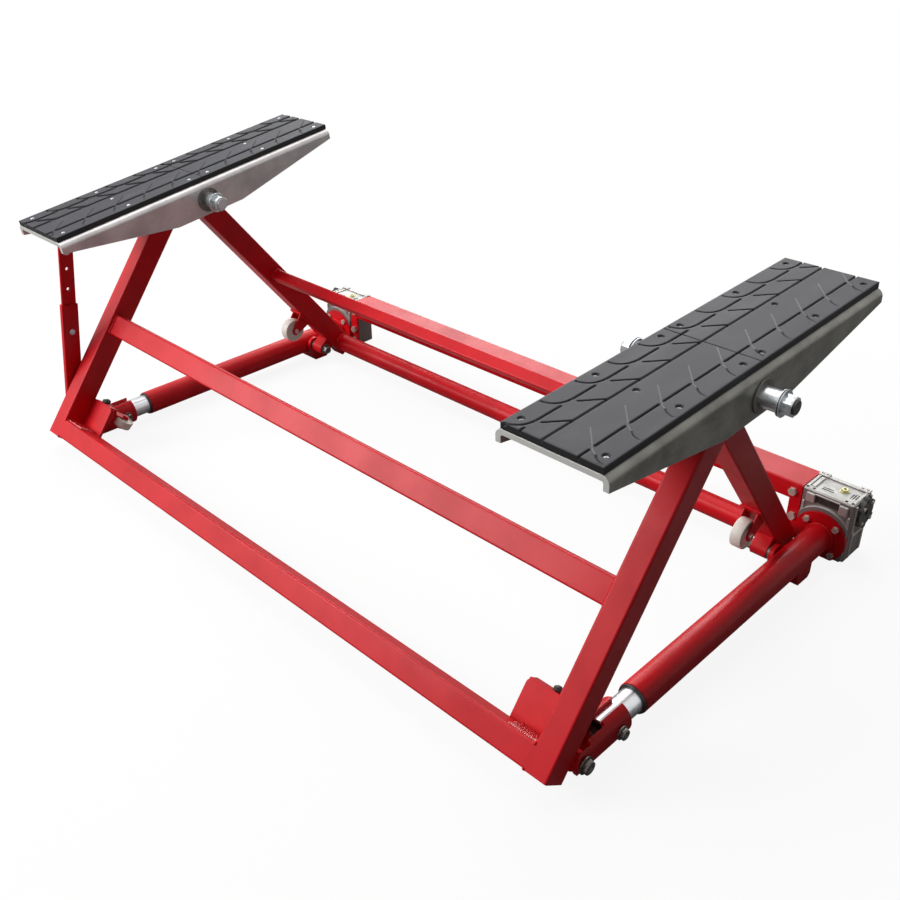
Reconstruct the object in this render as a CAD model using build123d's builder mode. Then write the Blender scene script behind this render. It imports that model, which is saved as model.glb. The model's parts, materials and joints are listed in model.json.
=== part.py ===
from math import acos, asin, atan2, cos, degrees, hypot, radians, sin, sqrt, tan
import os

from build123d import *

os.makedirs("parts", exist_ok=True)

# Lift triangle seen from the side: top pivot, front bottom pivot, rear bottom pivot
apex_height = 580.0
front_pivot_reach = 347.5
front_pivot_height = 34.0
rear_pivot_height = 48.0
pivot_offset = 52.0  # bottom pivots stand this far off the legs' centrelines
lowered_angle = 16.0  # base angle of the triangle when the lift is down

# Legs, rectangular tube
leg_width = 46.0
leg_depth = 55.0
leg_wall = 4.0
leg_corner = 4.0
leg_end_rise = 15.8  # front legs' square ends above the floor, with the lift up
front_leg_x = 790.0
leg_gap = 20.0  # sideways, between a front leg and the rear leg inside it
rear_leg_tail = 69.0  # rear leg below its pivot's foot

# Crossbars
bar_height = 50.0
bar_depth = 40.0
bar_wall = 3.0
bar_corner = 4.0
mid_bar_station = 375.0  # along the front leg from the top pivot
mid_bar_shift = 2.0
bottom_bar_rise = 1.0  # bar's lower side above the leg's square end
bottom_bar_height = 46.0
upper_bar_station = 340.5
upper_bar_height = 22.0
upper_bar_depth = 30.0
round_tube_radius = 25.0
round_tube_wall = 4.0
round_tube_drop = 39.0  # below the bottom pivot, along the leg

# Platforms
platform_inset = 43.0  # platform's middle inwards of the front leg's
channel_width = 200.0
channel_length = 780.0
channel_shift = 4.0  # channel's middle behind the pivot
channel_plate = 10.0
channel_bend = 14.0
plate_top = 43.0  # above the pivot
flange_end_bottom = 18.5
flange_mid_bottom = -35.0
flange_flat = 190.0
right_platform_tilt = 3.3
left_platform_tilt = 9.25
pad_width = 180.0
pad_thickness = 12.0
pad_seam = 1.0
pad_edge = 1.5
groove_width = 5.0
groove_depth = 5.0
groove_shares = (0.23, 0.42, 0.78)  # of the pad's width, from its left edge
pad_screw_side = 16.0
pad_screw_end = 26.0
pad_screw_recess = 5.0
pad_screw_head_radius = 6.0
pad_screw_head = 2.5
pad_screw_shank_radius = 3.0

# Top pivot bolt and what is threaded on it
apex_bolt_radius = 12.0
apex_bolt_tail = 4.0
sleeve_radius = 18.0
sleeve_length = 30.0
big_washer_radius = 29.0
big_washer = 3.0
small_washer_radius = 25.0
small_washer = 4.5
apex_nut_flats = 32.0
apex_nut_height = 17.0

# Fits
running_gap = 0.05  # radial, shafts and pins in their bores
side_gap = 0.2  # flat faces beside each other on one pin
seat_gap = 0.02  # radial, pieces that don't turn in each other

# Spindles
tube_radius = 30.0
tube_wall = 3.5
lip_gap = 45.0  # between the raised clevis and the tube's lip
gearbox_reach = 129.0  # gearbox face behind the rear pivot
flange_radius = 57.5
flange_plate = 10.0
flange_bolt_circle = 46.0
flange_bolt_radius = 4.0
flange_bolt_flats = 13.0
flange_bolt_head = 6.0
flange_bolt_shank = 20.0
push_radius = 24.0
push_wall = 5.0
push_front = 72.0  # push tube's front end behind the front pivot
push_rear = 40.0  # push tube's rear end behind the rear pivot
nut_flange = 25.0
nut_spigot = 30.0
nut_gap = 0.3
screw_radius = 12.0
screw_spare = 15.0  # screw past its nut when the lift is down
bush_length = 30.0
bush_lip = 4.0
bush_lip_radius = 28.5

# Clevis on the push tube
clevis_wall = 8.8
clevis_length = 125.0
clevis_nose = 22.0
clevis_top = 22.0  # over the pivot, under the folded leg
clevis_slot = 20.0
clevis_window = 36.0
clevis_bolt_station = 97.0
clevis_bolt_radius = 8.0
clevis_bolt_flats = 24.0
clevis_bolt_head = 10.0
pivot_bolt_radius = 10.0
pivot_bolt_flats = 30.0
pivot_bolt_head = 11.0
lug_radius = 17.0
lug_clearance = 1.5  # under the lug in the clevis
rear_lug_width = 36.0

# Saddle feet
saddle_inner_gap = 3.0  # from the rear leg's outer face
saddle_cheek = 9.5
saddle_outer = -4.0  # past the tube
saddle_front = 10.0
saddle_rear = 47.0
saddle_chamfer = 8.0
cheek_radius = 22.0
stud_collar_radius = 15.0
stud_nut_flats = 30.0
stud_nut_height = 16.0

# Gearboxes, about the spindle's axis
gearbox_half_width = 57.0
gearbox_depth = 80.0
gearbox_below = 47.0
gearbox_above = 97.0
gearbox_wall = 6.0
gearbox_top_wall = 7.5
gearbox_chamfer = 3.0
gearbox_front_wall = 14.0
worm_radius = 24.2
worm_half = 30.0
worm_shaft_radius = 12.0
wheel_radius = 40.0
wheel_width = 30.0
mesh_gap = 0.3
bearing_radius = 26.0
worm_bearing_radius = 20.0
cover_radius = 44.0
cover_plate = 8.0
cover_bolt_circle = 36.0
input_cover_radius = 32.0
input_cover_plate = 10.0
input_bolt_circle = 25.0
small_bolt_radius = 2.5
small_bolt_flats = 8.0
small_bolt_head = 4.0
small_bolt_shank = 12.0
input_bore_radius = 7.0
input_bore_depth = 30.0
key_width = 5.0
key_height = 2.3
boss_radius = 67.0
boss_plate = 6.0
boss_gap = 0.5  # round the red flange
rail_width = 13.0
rail_end = 8.0
rail_recess = 3.5
rail_hole_inset = 7.0
rail_hole_pitch = 14.0
rail_hole_radius = 3.5
rail_hole_depth = 8.0
foot_recess = 9.0
foot_length = 20.0
plug_flats = 15.0
plug_height = 7.0
plug_radius = 5.0
plug_shift = 14.0  # from the gearbox's middle to its right

# Cross shaft and the box tube over it
shaft_radius = 6.0
shaft_socket = 20.0
cover_tube_height = 42.0
cover_tube_wall = 2.5
cover_bolt_inset = 20.0
cover_bolt_radius = 5.0
cover_bolt_flats = 17.0
cover_bolt_head = 7.0
cover_bolt_shank = 9.0
tab_width = 26.0
tab_plate = 6.0
tab_bottom = -30.0
tab_bolt_heights = (17.0, -17.0)

# Foot brackets and front casters
bracket_width = 88.0
bracket_plate = 6.0
bracket_face = 21.0  # bracket's front behind the leg's centreline
bracket_height = 96.0
bracket_corner = 10.0
front_caster_rise = 77.0  # above the bracket's lower edge
front_caster_inset = 69.0  # swivel axis from the leg's inner face
front_wheel_radius = 24.0
front_wheel_width = 20.0
front_axle_depth = 43.0
front_trail = 12.0
right_caster_turn = 0.0
left_caster_turn = -75.0
swivel_plate_size = 38.0
swivel_plate = 4.0
raceway_radius = 17.0
raceway_height = 8.0
yoke_radius = 19.0
yoke_plate = 3.5
kingpin_radius = 5.0
kingpin_head_radius = 8.0
kingpin_head = 1.6
fork_plate = 3.0
fork_boss_radius = 9.0
fork_root_half = 15.0
axle_radius = 4.0
axle_head_radius = 6.5
axle_head = 4.0
wheel_side_gap = 0.8

# Rear casters
rear_caster_rise = 127.5  # above the bottom pivot, along the leg
rear_wheel_radius = 31.5
rear_wheel_width = 25.0
rear_axle_depth = 45.2
rear_fork_plate = 3.5
rear_fork_half = 22.0
rear_boss_radius = 12.0
rear_caster_base = 4.0
rear_base_half = 30.0

# Strut beside the left front leg
strut_hinge_rise = 111.6  # above the leg's square end
strut_gap = 6.0  # from the leg's outer face to the strut
strut_outer_depth = 42.0
strut_outer_width = 14.0
strut_outer_wall = 2.5
strut_corner = 2.5
strut_outer_length = 229.8
strut_foot = 15.0
strut_inner_gap = 0.5
strut_inner_wall = 2.5
strut_inner_bottom = 165.6
strut_inner_top = 375.0
strut_aim = (-292.6, 10.0)  # point of the left platform that the strut points at
strut_pin_radius = 6.0
strut_boss_radius = 12.0
lock_bolt_radius = 4.0
lock_bolt_station = 161.0
lock_bolt_head = 4.0
strut_hole_radius = 4.5
strut_hole_stations = (268.8, 318.6)
top_pin_radius = 5.0
top_pin_inset = 12.0
top_pin_head = 2.0

# Worked out from the sizes above
leg_reach = hypot(front_pivot_reach, apex_height - front_pivot_height)
rear_pivot_reach = sqrt(leg_reach**2 - (apex_height - rear_pivot_height) ** 2)
base_length = hypot(front_pivot_reach + rear_pivot_reach, rear_pivot_height - front_pivot_height)
spindle_angle = degrees(
    atan2(rear_pivot_height - front_pivot_height, front_pivot_reach + rear_pivot_reach)
)
raised_angle = degrees(acos(base_length / 2 / leg_reach))
stroke = 2 * leg_reach * (cos(radians(lowered_angle)) - cos(radians(raised_angle)))
lean = degrees(asin(pivot_offset / leg_reach))  # leg against the line between its pivots
pivot_station = leg_reach * cos(radians(lean))  # bottom pivot's foot along the leg
front_slope = degrees(atan2(apex_height - front_pivot_height, front_pivot_reach)) - lean
rear_slope = degrees(atan2(apex_height - rear_pivot_height, rear_pivot_reach)) - lean
half_leg = leg_depth / 2
leg_drop = apex_height - leg_end_rise - half_leg * cos(radians(front_slope))
front_leg_length = leg_drop / sin(radians(front_slope))
rear_leg_length = pivot_station + rear_leg_tail
spindle_x = front_leg_x
rear_leg_x = front_leg_x - leg_width - leg_gap
platform_x = front_leg_x - platform_inset
tube_reach = base_length - clevis_length - lip_gap - bush_lip  # tube's lip ahead of the rear pivot
round_tube_station = pivot_station + round_tube_drop
rear_caster_station = pivot_station - rear_caster_rise
bottom_bar_station = front_leg_length - bottom_bar_rise - bottom_bar_height / 2
bottom_bar_depth = half_leg + bracket_face
bracket_bottom = bottom_bar_station
bracket_top = bracket_bottom - bracket_height
bracket_back = bracket_face + bracket_plate
front_caster_station = bracket_bottom - front_caster_rise
strut_hinge_station = front_leg_length - strut_hinge_rise
worm_height = wheel_radius + worm_radius + mesh_gap

# The origin is on the floor, under the middle of the whole lift
front_end = front_leg_length * cos(radians(front_slope)) + half_leg * sin(radians(front_slope))
gearbox_back = gearbox_reach + gearbox_depth + cover_plate + small_bolt_head
rear_end = (
    rear_pivot_reach
    + gearbox_back * cos(radians(spindle_angle))
    + cover_bolt_circle * sin(radians(spindle_angle))
)
apex_y = (front_end - rear_end) / 2
apex = (apex_y, apex_height)
front_pivot = (apex_y - front_pivot_reach, front_pivot_height)
rear_pivot = (apex_y + rear_pivot_reach, rear_pivot_height)

sides = (("right", 1), ("left", -1))


def side_plane(point, angle, x=0.0):
    # Normal along X, local x leaning by the angle in the Y-Z plane
    turn = radians(angle)
    return Plane(origin=(x, *point), x_dir=(0, cos(turn), sin(turn)), z_dir=(1, 0, 0))


def front_leg_plane(x=0.0):
    # Local x runs down the front leg from the top pivot, local y to its rear side
    return side_plane(apex, 180 + front_slope, x)


def rear_leg_plane(x=0.0):
    # Local x runs down the rear leg from the top pivot, local y to its upper side
    return side_plane(apex, -rear_slope, x)


def spindle_plane(x=0.0):
    # Local x runs rearwards along the spindle from the rear pivot, local y upwards
    return side_plane(rear_pivot, spindle_angle, x)


def across(plane, along=0.0, up=0.0):
    # Square to a side plane's local x, looking back along it, with local y upwards
    centre = plane.from_local_coords((along, up, 0))
    return Plane(origin=centre, x_dir=-plane.z_dir, z_dir=plane.x_dir)


def above(plane, along=0.0, up=0.0, sideways=0.0):
    # Lies on top of a side plane's local x, with the normal along its local y
    centre = plane.from_local_coords((along, up, sideways))
    return Plane(origin=centre, x_dir=plane.x_dir, z_dir=plane.y_dir)


def facing(plane, sign):
    # Side plane whose normal points outwards on either side of the lift
    return Plane(origin=plane.origin, x_dir=plane.x_dir, z_dir=plane.z_dir * sign)


def start_x(sign, low, high):
    # Left end of a span that is measured outwards from the lift's middle
    return min(sign * low, sign * high)


def save(piece, name):
    piece.part.label = name
    export_step(piece.part, f"parts/{name}.step")


def slab(plane, low, high, width, mode=Mode.ADD):
    with BuildSketch(plane) as outline:
        with Locations(((low[0] + high[0]) / 2, (low[1] + high[1]) / 2)):
            Rectangle(high[0] - low[0], high[1] - low[1])
    extrude(outline.sketch, amount=width, dir=plane.z_dir, mode=mode)


def bar(plane, centre, size, wall, width, corner=bar_corner):
    with BuildSketch(plane) as outline:
        with Locations(centre):
            RectangleRounded(*size, corner)
            Rectangle(size[0] - 2 * wall, size[1] - 2 * wall, mode=Mode.SUBTRACT)
    extrude(outline.sketch, amount=width, dir=plane.z_dir)


def plate(plane, points, width, mode=Mode.ADD):
    with BuildSketch(plane) as outline:
        Polygon(*points, align=None)
    extrude(outline.sketch, amount=width, dir=plane.z_dir, mode=mode)


def disc(plane, radius, length, bore=0.0, centre=(0, 0), spots=()):
    with BuildSketch(plane) as outline:
        with Locations(*(spots or (centre,))):
            Circle(radius)
            if bore:
                Circle(bore, mode=Mode.SUBTRACT)
    extrude(outline.sketch, amount=length, dir=plane.z_dir)


def drill(plane, radius, length, centre=(0, 0), spots=()):
    with BuildSketch(plane) as outline:
        with Locations(*(spots or (centre,))):
            Circle(radius)
    extrude(outline.sketch, amount=length, dir=plane.z_dir, mode=Mode.SUBTRACT)


def hexagon(plane, flats, height, bore=0.0, centre=(0, 0), spots=()):
    with BuildSketch(plane) as outline:
        with Locations(*(spots or (centre,))):
            RegularPolygon(flats / 2, 6, major_radius=False)
            if bore:
                Circle(bore, mode=Mode.SUBTRACT)
    extrude(outline.sketch, amount=height, dir=plane.z_dir)


def bolts(plane, radius, shank, flats, head, centre=(0, 0), spots=()):
    # Heads on the plane, shanks behind it
    hexagon(plane, flats, head, centre=centre, spots=spots)
    disc(plane, radius, -shank, centre=centre, spots=spots)


def leg(tube, plane, length):
    # Tube with a solid round top end about the pivot bolt, open at the square bottom end
    with BuildSketch(plane) as outline:
        Circle(half_leg)
        with Locations((length / 2, 0)):
            Rectangle(length, leg_depth)
    extrude(outline.sketch, amount=leg_width, dir=plane.z_dir)
    square_end = plane.from_local_coords((length, 0, 0))
    for face in (tube.faces().sort_by(Axis.X)[0], tube.faces().sort_by(Axis.X)[-1]):
        rims = face.edges().sort_by_distance(square_end)[1:]
        fillet(rims, leg_corner)
    hollow = half_leg - leg_wall
    slab(
        plane.offset(leg_wall),
        (half_leg, -hollow),
        (length, hollow),
        leg_width - 2 * leg_wall,
        Mode.SUBTRACT,
    )
    drill(plane, apex_bolt_radius + running_gap, leg_width)


def lug(plane, root, tip, width, bore):
    # Block from a leg's face to a bottom pivot, round about the pivot
    with BuildSketch(plane) as outline:
        with Locations((pivot_station, (root + tip) / 2)):
            Rectangle(2 * lug_radius, abs(tip - root))
        with Locations((pivot_station, tip)):
            Circle(lug_radius)
            Circle(bore, mode=Mode.SUBTRACT)
    extrude(outline.sketch, amount=width, dir=plane.z_dir)


def tapered(plane, root, half, tip, radius, width):
    # Fork cheek, straight at the root and round about the axle
    with BuildSketch(plane) as outline:
        Polygon(
            (root[0] - half, root[1]),
            (root[0] + half, root[1]),
            (tip[0] + radius, tip[1]),
            (tip[0] - radius, tip[1]),
            align=None,
        )
        with Locations(tip):
            Circle(radius)
    extrude(outline.sketch, amount=width, dir=plane.z_dir)


# Legs
front_span = front_leg_x - leg_width / 2
rear_span = rear_leg_x - leg_width / 2
for side, sign in sides:
    with BuildPart() as front_leg:
        leg(front_leg, front_leg_plane(sign * front_leg_x - leg_width / 2), front_leg_length)
    save(front_leg, f"{side}_front_leg")

    with BuildPart() as rear_leg:
        leg(rear_leg, rear_leg_plane(sign * rear_leg_x - leg_width / 2), rear_leg_length)
    save(rear_leg, f"{side}_rear_leg")

# Crossbars between the legs
bottom_bar_shift = bottom_bar_depth / 2 - half_leg
with BuildPart() as front_bottom_crossbar:
    bar(
        front_leg_plane(-front_span),
        (bottom_bar_station, bottom_bar_shift),
        (bottom_bar_height, bottom_bar_depth),
        bar_wall,
        2 * front_span,
    )
save(front_bottom_crossbar, "front_bottom_crossbar")

with BuildPart() as front_mid_crossbar:
    bar(
        front_leg_plane(-front_span),
        (mid_bar_station, mid_bar_shift),
        (bar_height, bar_depth),
        bar_wall,
        2 * front_span,
    )
save(front_mid_crossbar, "front_mid_crossbar")

with BuildPart() as rear_upper_crossbar:
    bar(
        rear_leg_plane(-rear_span),
        (upper_bar_station, 0),
        (upper_bar_height, upper_bar_depth),
        bar_wall,
        2 * rear_span,
    )
save(rear_upper_crossbar, "rear_upper_crossbar")

with BuildPart() as rear_round_tube:
    disc(
        rear_leg_plane(-rear_span),
        round_tube_radius,
        2 * rear_span,
        round_tube_radius - round_tube_wall,
        (round_tube_station, 0),
    )
save(rear_round_tube, "rear_round_tube")

# Lugs that carry the bottom pivots
clevis_inner = push_radius + side_gap
front_lug_half = clevis_inner - side_gap
with BuildPart() as front_pivot_lugs:
    for side, sign in sides:
        lug(
            front_leg_plane(sign * spindle_x - front_lug_half),
            half_leg,
            pivot_offset,
            2 * front_lug_half,
            pivot_bolt_radius + running_gap,
        )
save(front_pivot_lugs, "front_pivot_lugs")

with BuildPart() as rear_pivot_lugs:
    for side, sign in sides:
        lug(
            rear_leg_plane(sign * rear_leg_x - rear_lug_width / 2),
            -half_leg,
            -pivot_offset,
            rear_lug_width,
            pivot_bolt_radius + running_gap,
        )
save(rear_pivot_lugs, "rear_pivot_lugs")

# Foot brackets: a plate beside each front leg, on the rear of the bottom crossbar
with BuildPart() as foot_brackets:
    for side, sign in sides:
        face = above(front_leg_plane(), 0, bracket_face)
        middle = (bracket_bottom + bracket_top) / 2
        inner = -sign * (front_span - bracket_width)
        with BuildSketch(face) as outline:
            with Locations((middle, inner - sign * bracket_width / 2)):
                Rectangle(bracket_height, bracket_width)
            fillet(outline.vertices().sort_by_distance((bracket_top, inner))[0], bracket_corner)
        extrude(outline.sketch, amount=bracket_plate, dir=face.z_dir)
save(foot_brackets, "foot_brackets")

# Front casters: local x across, y down the leg, z out of the bracket
front_caster_x = front_span - front_caster_inset
caster_turns = {"right": right_caster_turn, "left": left_caster_turn}
yoke_base = swivel_plate + raceway_height + mesh_gap


def front_caster_plane(sign, turn):
    centre = front_leg_plane(sign * front_caster_x).from_local_coords(
        (front_caster_station, bracket_back, 0)
    )
    slope = radians(front_slope)
    swing = radians(turn)
    trail_across = (cos(swing), -sin(swing) * cos(slope), -sin(swing) * sin(slope))
    return Plane(origin=centre, x_dir=trail_across, z_dir=(0, sin(slope), -cos(slope)))


with BuildPart() as caster_swivel_plates:
    for side, sign in sides:
        face = front_caster_plane(sign, 0)
        slab(
            face,
            (-swivel_plate_size / 2, -swivel_plate_size / 2),
            (swivel_plate_size / 2, swivel_plate_size / 2),
            swivel_plate,
        )
        disc(face.offset(swivel_plate), raceway_radius, raceway_height)
        pin_length = yoke_plate + 2 * mesh_gap
        disc(face.offset(swivel_plate + raceway_height), kingpin_radius, pin_length)
        disc(
            face.offset(swivel_plate + raceway_height + pin_length),
            kingpin_head_radius,
            kingpin_head,
        )
save(caster_swivel_plates, "caster_swivel_plates")

front_cheek = front_wheel_width / 2 + wheel_side_gap
for side, sign in sides:
    face = front_caster_plane(sign, caster_turns[side])
    # Seen from the caster's own side: local x along its trail, local y out of the bracket
    edge_on = Plane(origin=face.origin, x_dir=face.y_dir, z_dir=face.x_dir)
    with BuildPart() as front_fork:
        disc(face.offset(yoke_base), yoke_radius, yoke_plate, kingpin_radius + running_gap)
        for cheek in (-front_cheek - fork_plate, front_cheek):
            tapered(
                edge_on.offset(cheek),
                (0, yoke_base),
                fork_root_half,
                (front_trail, front_axle_depth),
                fork_boss_radius,
                fork_plate,
            )
        axle_half = front_cheek + fork_plate
        axle = (front_trail, front_axle_depth)
        disc(edge_on.offset(-axle_half), axle_radius, 2 * axle_half, centre=axle)
        disc(edge_on.offset(axle_half), axle_head_radius, axle_head, centre=axle)
        disc(edge_on.offset(-axle_half - axle_head), axle_head_radius, axle_head, centre=axle)
    save(front_fork, f"{side}_front_fork")

    with BuildPart() as front_wheel:
        disc(
            edge_on.offset(-front_wheel_width / 2),
            front_wheel_radius,
            front_wheel_width,
            axle_radius + running_gap,
            axle,
        )
        chamfer(front_wheel.edges().filter_by(GeomType.CIRCLE).sort_by(SortBy.RADIUS)[-2:], pad_edge)
    save(front_wheel, f"{side}_front_wheel")

# Rear casters: fixed forks under the rear legs
rear_axle = (rear_caster_station, -half_leg - rear_axle_depth)
rear_cheek = rear_wheel_width / 2 + wheel_side_gap
with BuildPart() as rear_caster_forks:
    for side, sign in sides:
        x = sign * rear_leg_x
        slab(
            rear_leg_plane(x - leg_width / 2),
            (rear_caster_station - rear_base_half, -half_leg - rear_caster_base),
            (rear_caster_station + rear_base_half, -half_leg),
            leg_width,
        )
        for cheek in (-rear_cheek - rear_fork_plate, rear_cheek):
            beside = rear_leg_plane(x + cheek)
            root = (rear_caster_station, -half_leg - rear_caster_base)
            tapered(beside, root, rear_fork_half, rear_axle, rear_boss_radius, rear_fork_plate)
            drill(beside, axle_radius + seat_gap, rear_fork_plate, rear_axle)
save(rear_caster_forks, "rear_caster_forks")

with BuildPart() as rear_caster_axles:
    for side, sign in sides:
        x = sign * rear_leg_x
        half = rear_cheek + rear_fork_plate
        disc(rear_leg_plane(x - half), axle_radius, 2 * half, centre=rear_axle)
        disc(rear_leg_plane(x + half), axle_head_radius, axle_head, centre=rear_axle)
        disc(rear_leg_plane(x - half - axle_head), axle_head_radius, axle_head, centre=rear_axle)
save(rear_caster_axles, "rear_caster_axles")

for side, sign in sides:
    with BuildPart() as rear_wheel:
        disc(
            rear_leg_plane(sign * rear_leg_x - rear_wheel_width / 2),
            rear_wheel_radius,
            rear_wheel_width,
            axle_radius + running_gap,
            rear_axle,
        )
        chamfer(rear_wheel.edges().filter_by(GeomType.CIRCLE).sort_by(SortBy.RADIUS)[-2:], pad_edge)
    save(rear_wheel, f"{side}_rear_wheel")

# Spindle tubes with their flanges on the gearboxes
tube_bore = tube_radius - tube_wall


def corner_spots(circle, middle=(0, 0)):
    # Four places on a bolt circle, at its diagonals
    reach = circle / sqrt(2)
    return [(middle[0] + x * reach, middle[1] + y * reach) for x in (-1, 1) for y in (-1, 1)]


flange_bolt_spots = corner_spots(flange_bolt_circle)
for side, sign in sides:
    rear = spindle_plane(sign * spindle_x)
    with BuildPart() as spindle_tube:
        tube_length = tube_reach + gearbox_reach - flange_plate
        disc(across(rear, -tube_reach), tube_radius, tube_length, tube_bore)
        back = across(rear, gearbox_reach - flange_plate)
        disc(back, flange_radius, flange_plate, screw_radius + bush_lip)
        # The flange's underside is cut flat, level with the gearbox's
        slab(
            spindle_plane(sign * spindle_x - flange_radius),
            (gearbox_reach - flange_plate, -flange_radius),
            (gearbox_reach, -gearbox_below),
            2 * flange_radius,
            Mode.SUBTRACT,
        )
        drill(back, flange_bolt_radius + seat_gap, flange_plate, spots=flange_bolt_spots)
    save(spindle_tube, f"{side}_spindle_tube")

with BuildPart() as guide_bushes:
    for side, sign in sides:
        rear = spindle_plane(sign * spindle_x)
        lip = across(rear, -tube_reach)
        disc(lip, tube_bore - seat_gap, bush_length, push_radius + running_gap)
        disc(lip, bush_lip_radius, -bush_lip, push_radius + running_gap)
save(guide_bushes, "guide_bushes")

# Saddle feet: stand on the floor, carry the tube, and hold the rear pivot stud in a cheek
saddle_inner = rear_leg_x + leg_width / 2 + saddle_inner_gap
saddle_end = spindle_x + tube_radius + saddle_outer
for side, sign in sides:
    with BuildPart() as saddle_foot:
        block = side_plane((rear_pivot[0], 0), 0, start_x(sign, saddle_inner, saddle_end))
        plate(
            block,
            (
                (-saddle_front, rear_pivot_height),
                (-saddle_front, saddle_chamfer),
                (saddle_chamfer - saddle_front, 0),
                (saddle_rear - saddle_chamfer, 0),
                (saddle_rear, saddle_chamfer),
                (saddle_rear, rear_pivot_height),
            ),
            saddle_end - saddle_inner,
        )
        cheek_x = start_x(sign, saddle_inner, saddle_inner + saddle_cheek)
        disc(side_plane(rear_pivot, 0, cheek_x), cheek_radius, saddle_cheek)
        rear = spindle_plane(sign * spindle_x)
        drill(across(rear, -2 * saddle_rear), tube_radius + seat_gap, 4 * saddle_rear)
        drill(side_plane(rear_pivot, 0, cheek_x), pivot_bolt_radius + seat_gap, saddle_cheek)
    save(saddle_foot, f"{side}_saddle_foot")

lug_inner = rear_leg_x - rear_lug_width / 2
lug_outer = rear_leg_x + rear_lug_width / 2
with BuildPart() as rear_pivot_studs:
    for side, sign in sides:
        nut_start = lug_inner - side_gap - stud_nut_height
        stud_end = saddle_inner + saddle_cheek
        at = side_plane(rear_pivot, 0, start_x(sign, nut_start, stud_end))
        disc(at, pivot_bolt_radius, stud_end - nut_start)
        at = side_plane(rear_pivot, 0, start_x(sign, lug_outer + side_gap, saddle_inner))
        disc(at, stud_collar_radius, saddle_inner - lug_outer - side_gap)
        at = side_plane(rear_pivot, 0, start_x(sign, nut_start, nut_start + stud_nut_height))
        hexagon(at, stud_nut_flats, stud_nut_height)
save(rear_pivot_studs, "rear_pivot_studs")

# Gearbox cases: hollow, with rails on top, feet below, and bores for the two shafts
cavity_front = gearbox_reach + gearbox_front_wall
cavity_back = gearbox_reach + gearbox_depth - gearbox_wall
wheel_station = (cavity_front + cavity_back) / 2
worm_spot = (wheel_station, worm_height)
rear_spots = corner_spots(cover_bolt_circle)
end_spots = corner_spots(input_bolt_circle, worm_spot)
for side, sign in sides:
    x = sign * spindle_x
    rear = spindle_plane(x)
    with BuildPart() as gearbox_case:
        slab(
            spindle_plane(x - gearbox_half_width),
            (gearbox_reach, -gearbox_below),
            (gearbox_reach + gearbox_depth, gearbox_above),
            2 * gearbox_half_width,
        )
        chamfer(gearbox_case.edges(), gearbox_chamfer)
        front = across(rear, gearbox_reach)
        with BuildSketch(front) as boss:
            Circle(boss_radius)
            with Locations((0, (gearbox_above - gearbox_below) / 2)):
                Rectangle(
                    2 * (gearbox_half_width - gearbox_chamfer),
                    gearbox_above + gearbox_below - 2 * gearbox_chamfer,
                    mode=Mode.INTERSECT,
                )
            Circle(flange_radius + boss_gap, mode=Mode.SUBTRACT)
        extrude(boss.sketch, amount=-boss_plate, dir=front.z_dir)
        inside = gearbox_half_width - gearbox_wall
        slab(
            spindle_plane(x - inside),
            (cavity_front, gearbox_wall - gearbox_below),
            (cavity_back, gearbox_above - gearbox_top_wall),
            2 * inside,
            Mode.SUBTRACT,
        )
        # Recess between the two top rails, and the gap between the feet
        slab(
            spindle_plane(x - gearbox_half_width + rail_end),
            (gearbox_reach + rail_width, gearbox_above - rail_recess),
            (gearbox_reach + gearbox_depth - rail_width, gearbox_above + rail_recess),
            2 * (gearbox_half_width - rail_end),
            Mode.SUBTRACT,
        )
        rail_spots = [
            (rail, end * (gearbox_half_width - rail_hole_inset - step))
            for rail in (rail_hole_inset, gearbox_depth - rail_hole_inset)
            for end in (-1, 1)
            for step in (0, rail_hole_pitch)
        ]
        top = above(rear, gearbox_reach, gearbox_above)
        drill(top, rail_hole_radius, -rail_hole_depth, spots=rail_spots)
        drill(across(rear, gearbox_reach), bearing_radius + seat_gap, gearbox_depth)
        bolt_hole = flange_bolt_shank - flange_plate + side_gap
        drill(front, flange_bolt_radius + seat_gap, bolt_hole, spots=flange_bolt_spots)
        low = spindle_plane(x - gearbox_half_width)
        drill(low, worm_bearing_radius + seat_gap, 2 * gearbox_half_width, worm_spot)
        drill(across(rear, cavity_back), small_bolt_radius + seat_gap, gearbox_wall, spots=rear_spots)
        wall = spindle_plane(start_x(sign, spindle_x + inside, spindle_x + gearbox_half_width))
        drill(wall, small_bolt_radius + seat_gap, gearbox_wall, spots=end_spots)
        plug_at = above(rear, wheel_station, gearbox_above - gearbox_top_wall, plug_shift)
        drill(plug_at, plug_radius + seat_gap, gearbox_top_wall)
    save(gearbox_case, f"{side}_gearbox_case")

with BuildPart() as oil_plugs:
    for side, sign in sides:
        rear = spindle_plane(sign * spindle_x)
        top = above(rear, wheel_station, gearbox_above - rail_recess, plug_shift)
        bolts(top, plug_radius, gearbox_top_wall - rail_recess, plug_flats, plug_height)
save(oil_plugs, "oil_plugs")

with BuildPart() as gearbox_output_covers:
    for side, sign in sides:
        back = across(spindle_plane(sign * spindle_x), gearbox_reach + gearbox_depth)
        disc(back, cover_radius, cover_plate)
        drill(back, small_bolt_radius + seat_gap, cover_plate, spots=rear_spots)
save(gearbox_output_covers, "gearbox_output_covers")

# Round covers over the worms' outer ends: open for a drive on the right, blind on the left
gearbox_side = spindle_x + gearbox_half_width
cover_side = gearbox_side + input_cover_plate
with BuildPart() as worm_end_covers:
    for side, sign in sides:
        face = spindle_plane(start_x(sign, gearbox_side, cover_side))
        disc(face, input_cover_radius, input_cover_plate, centre=worm_spot)
        drill(face, small_bolt_radius + seat_gap, input_cover_plate, spots=end_spots)
    face = spindle_plane(gearbox_side)
    drill(face, worm_shaft_radius + mesh_gap, input_cover_plate, worm_spot)
save(worm_end_covers, "worm_end_covers")

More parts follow.
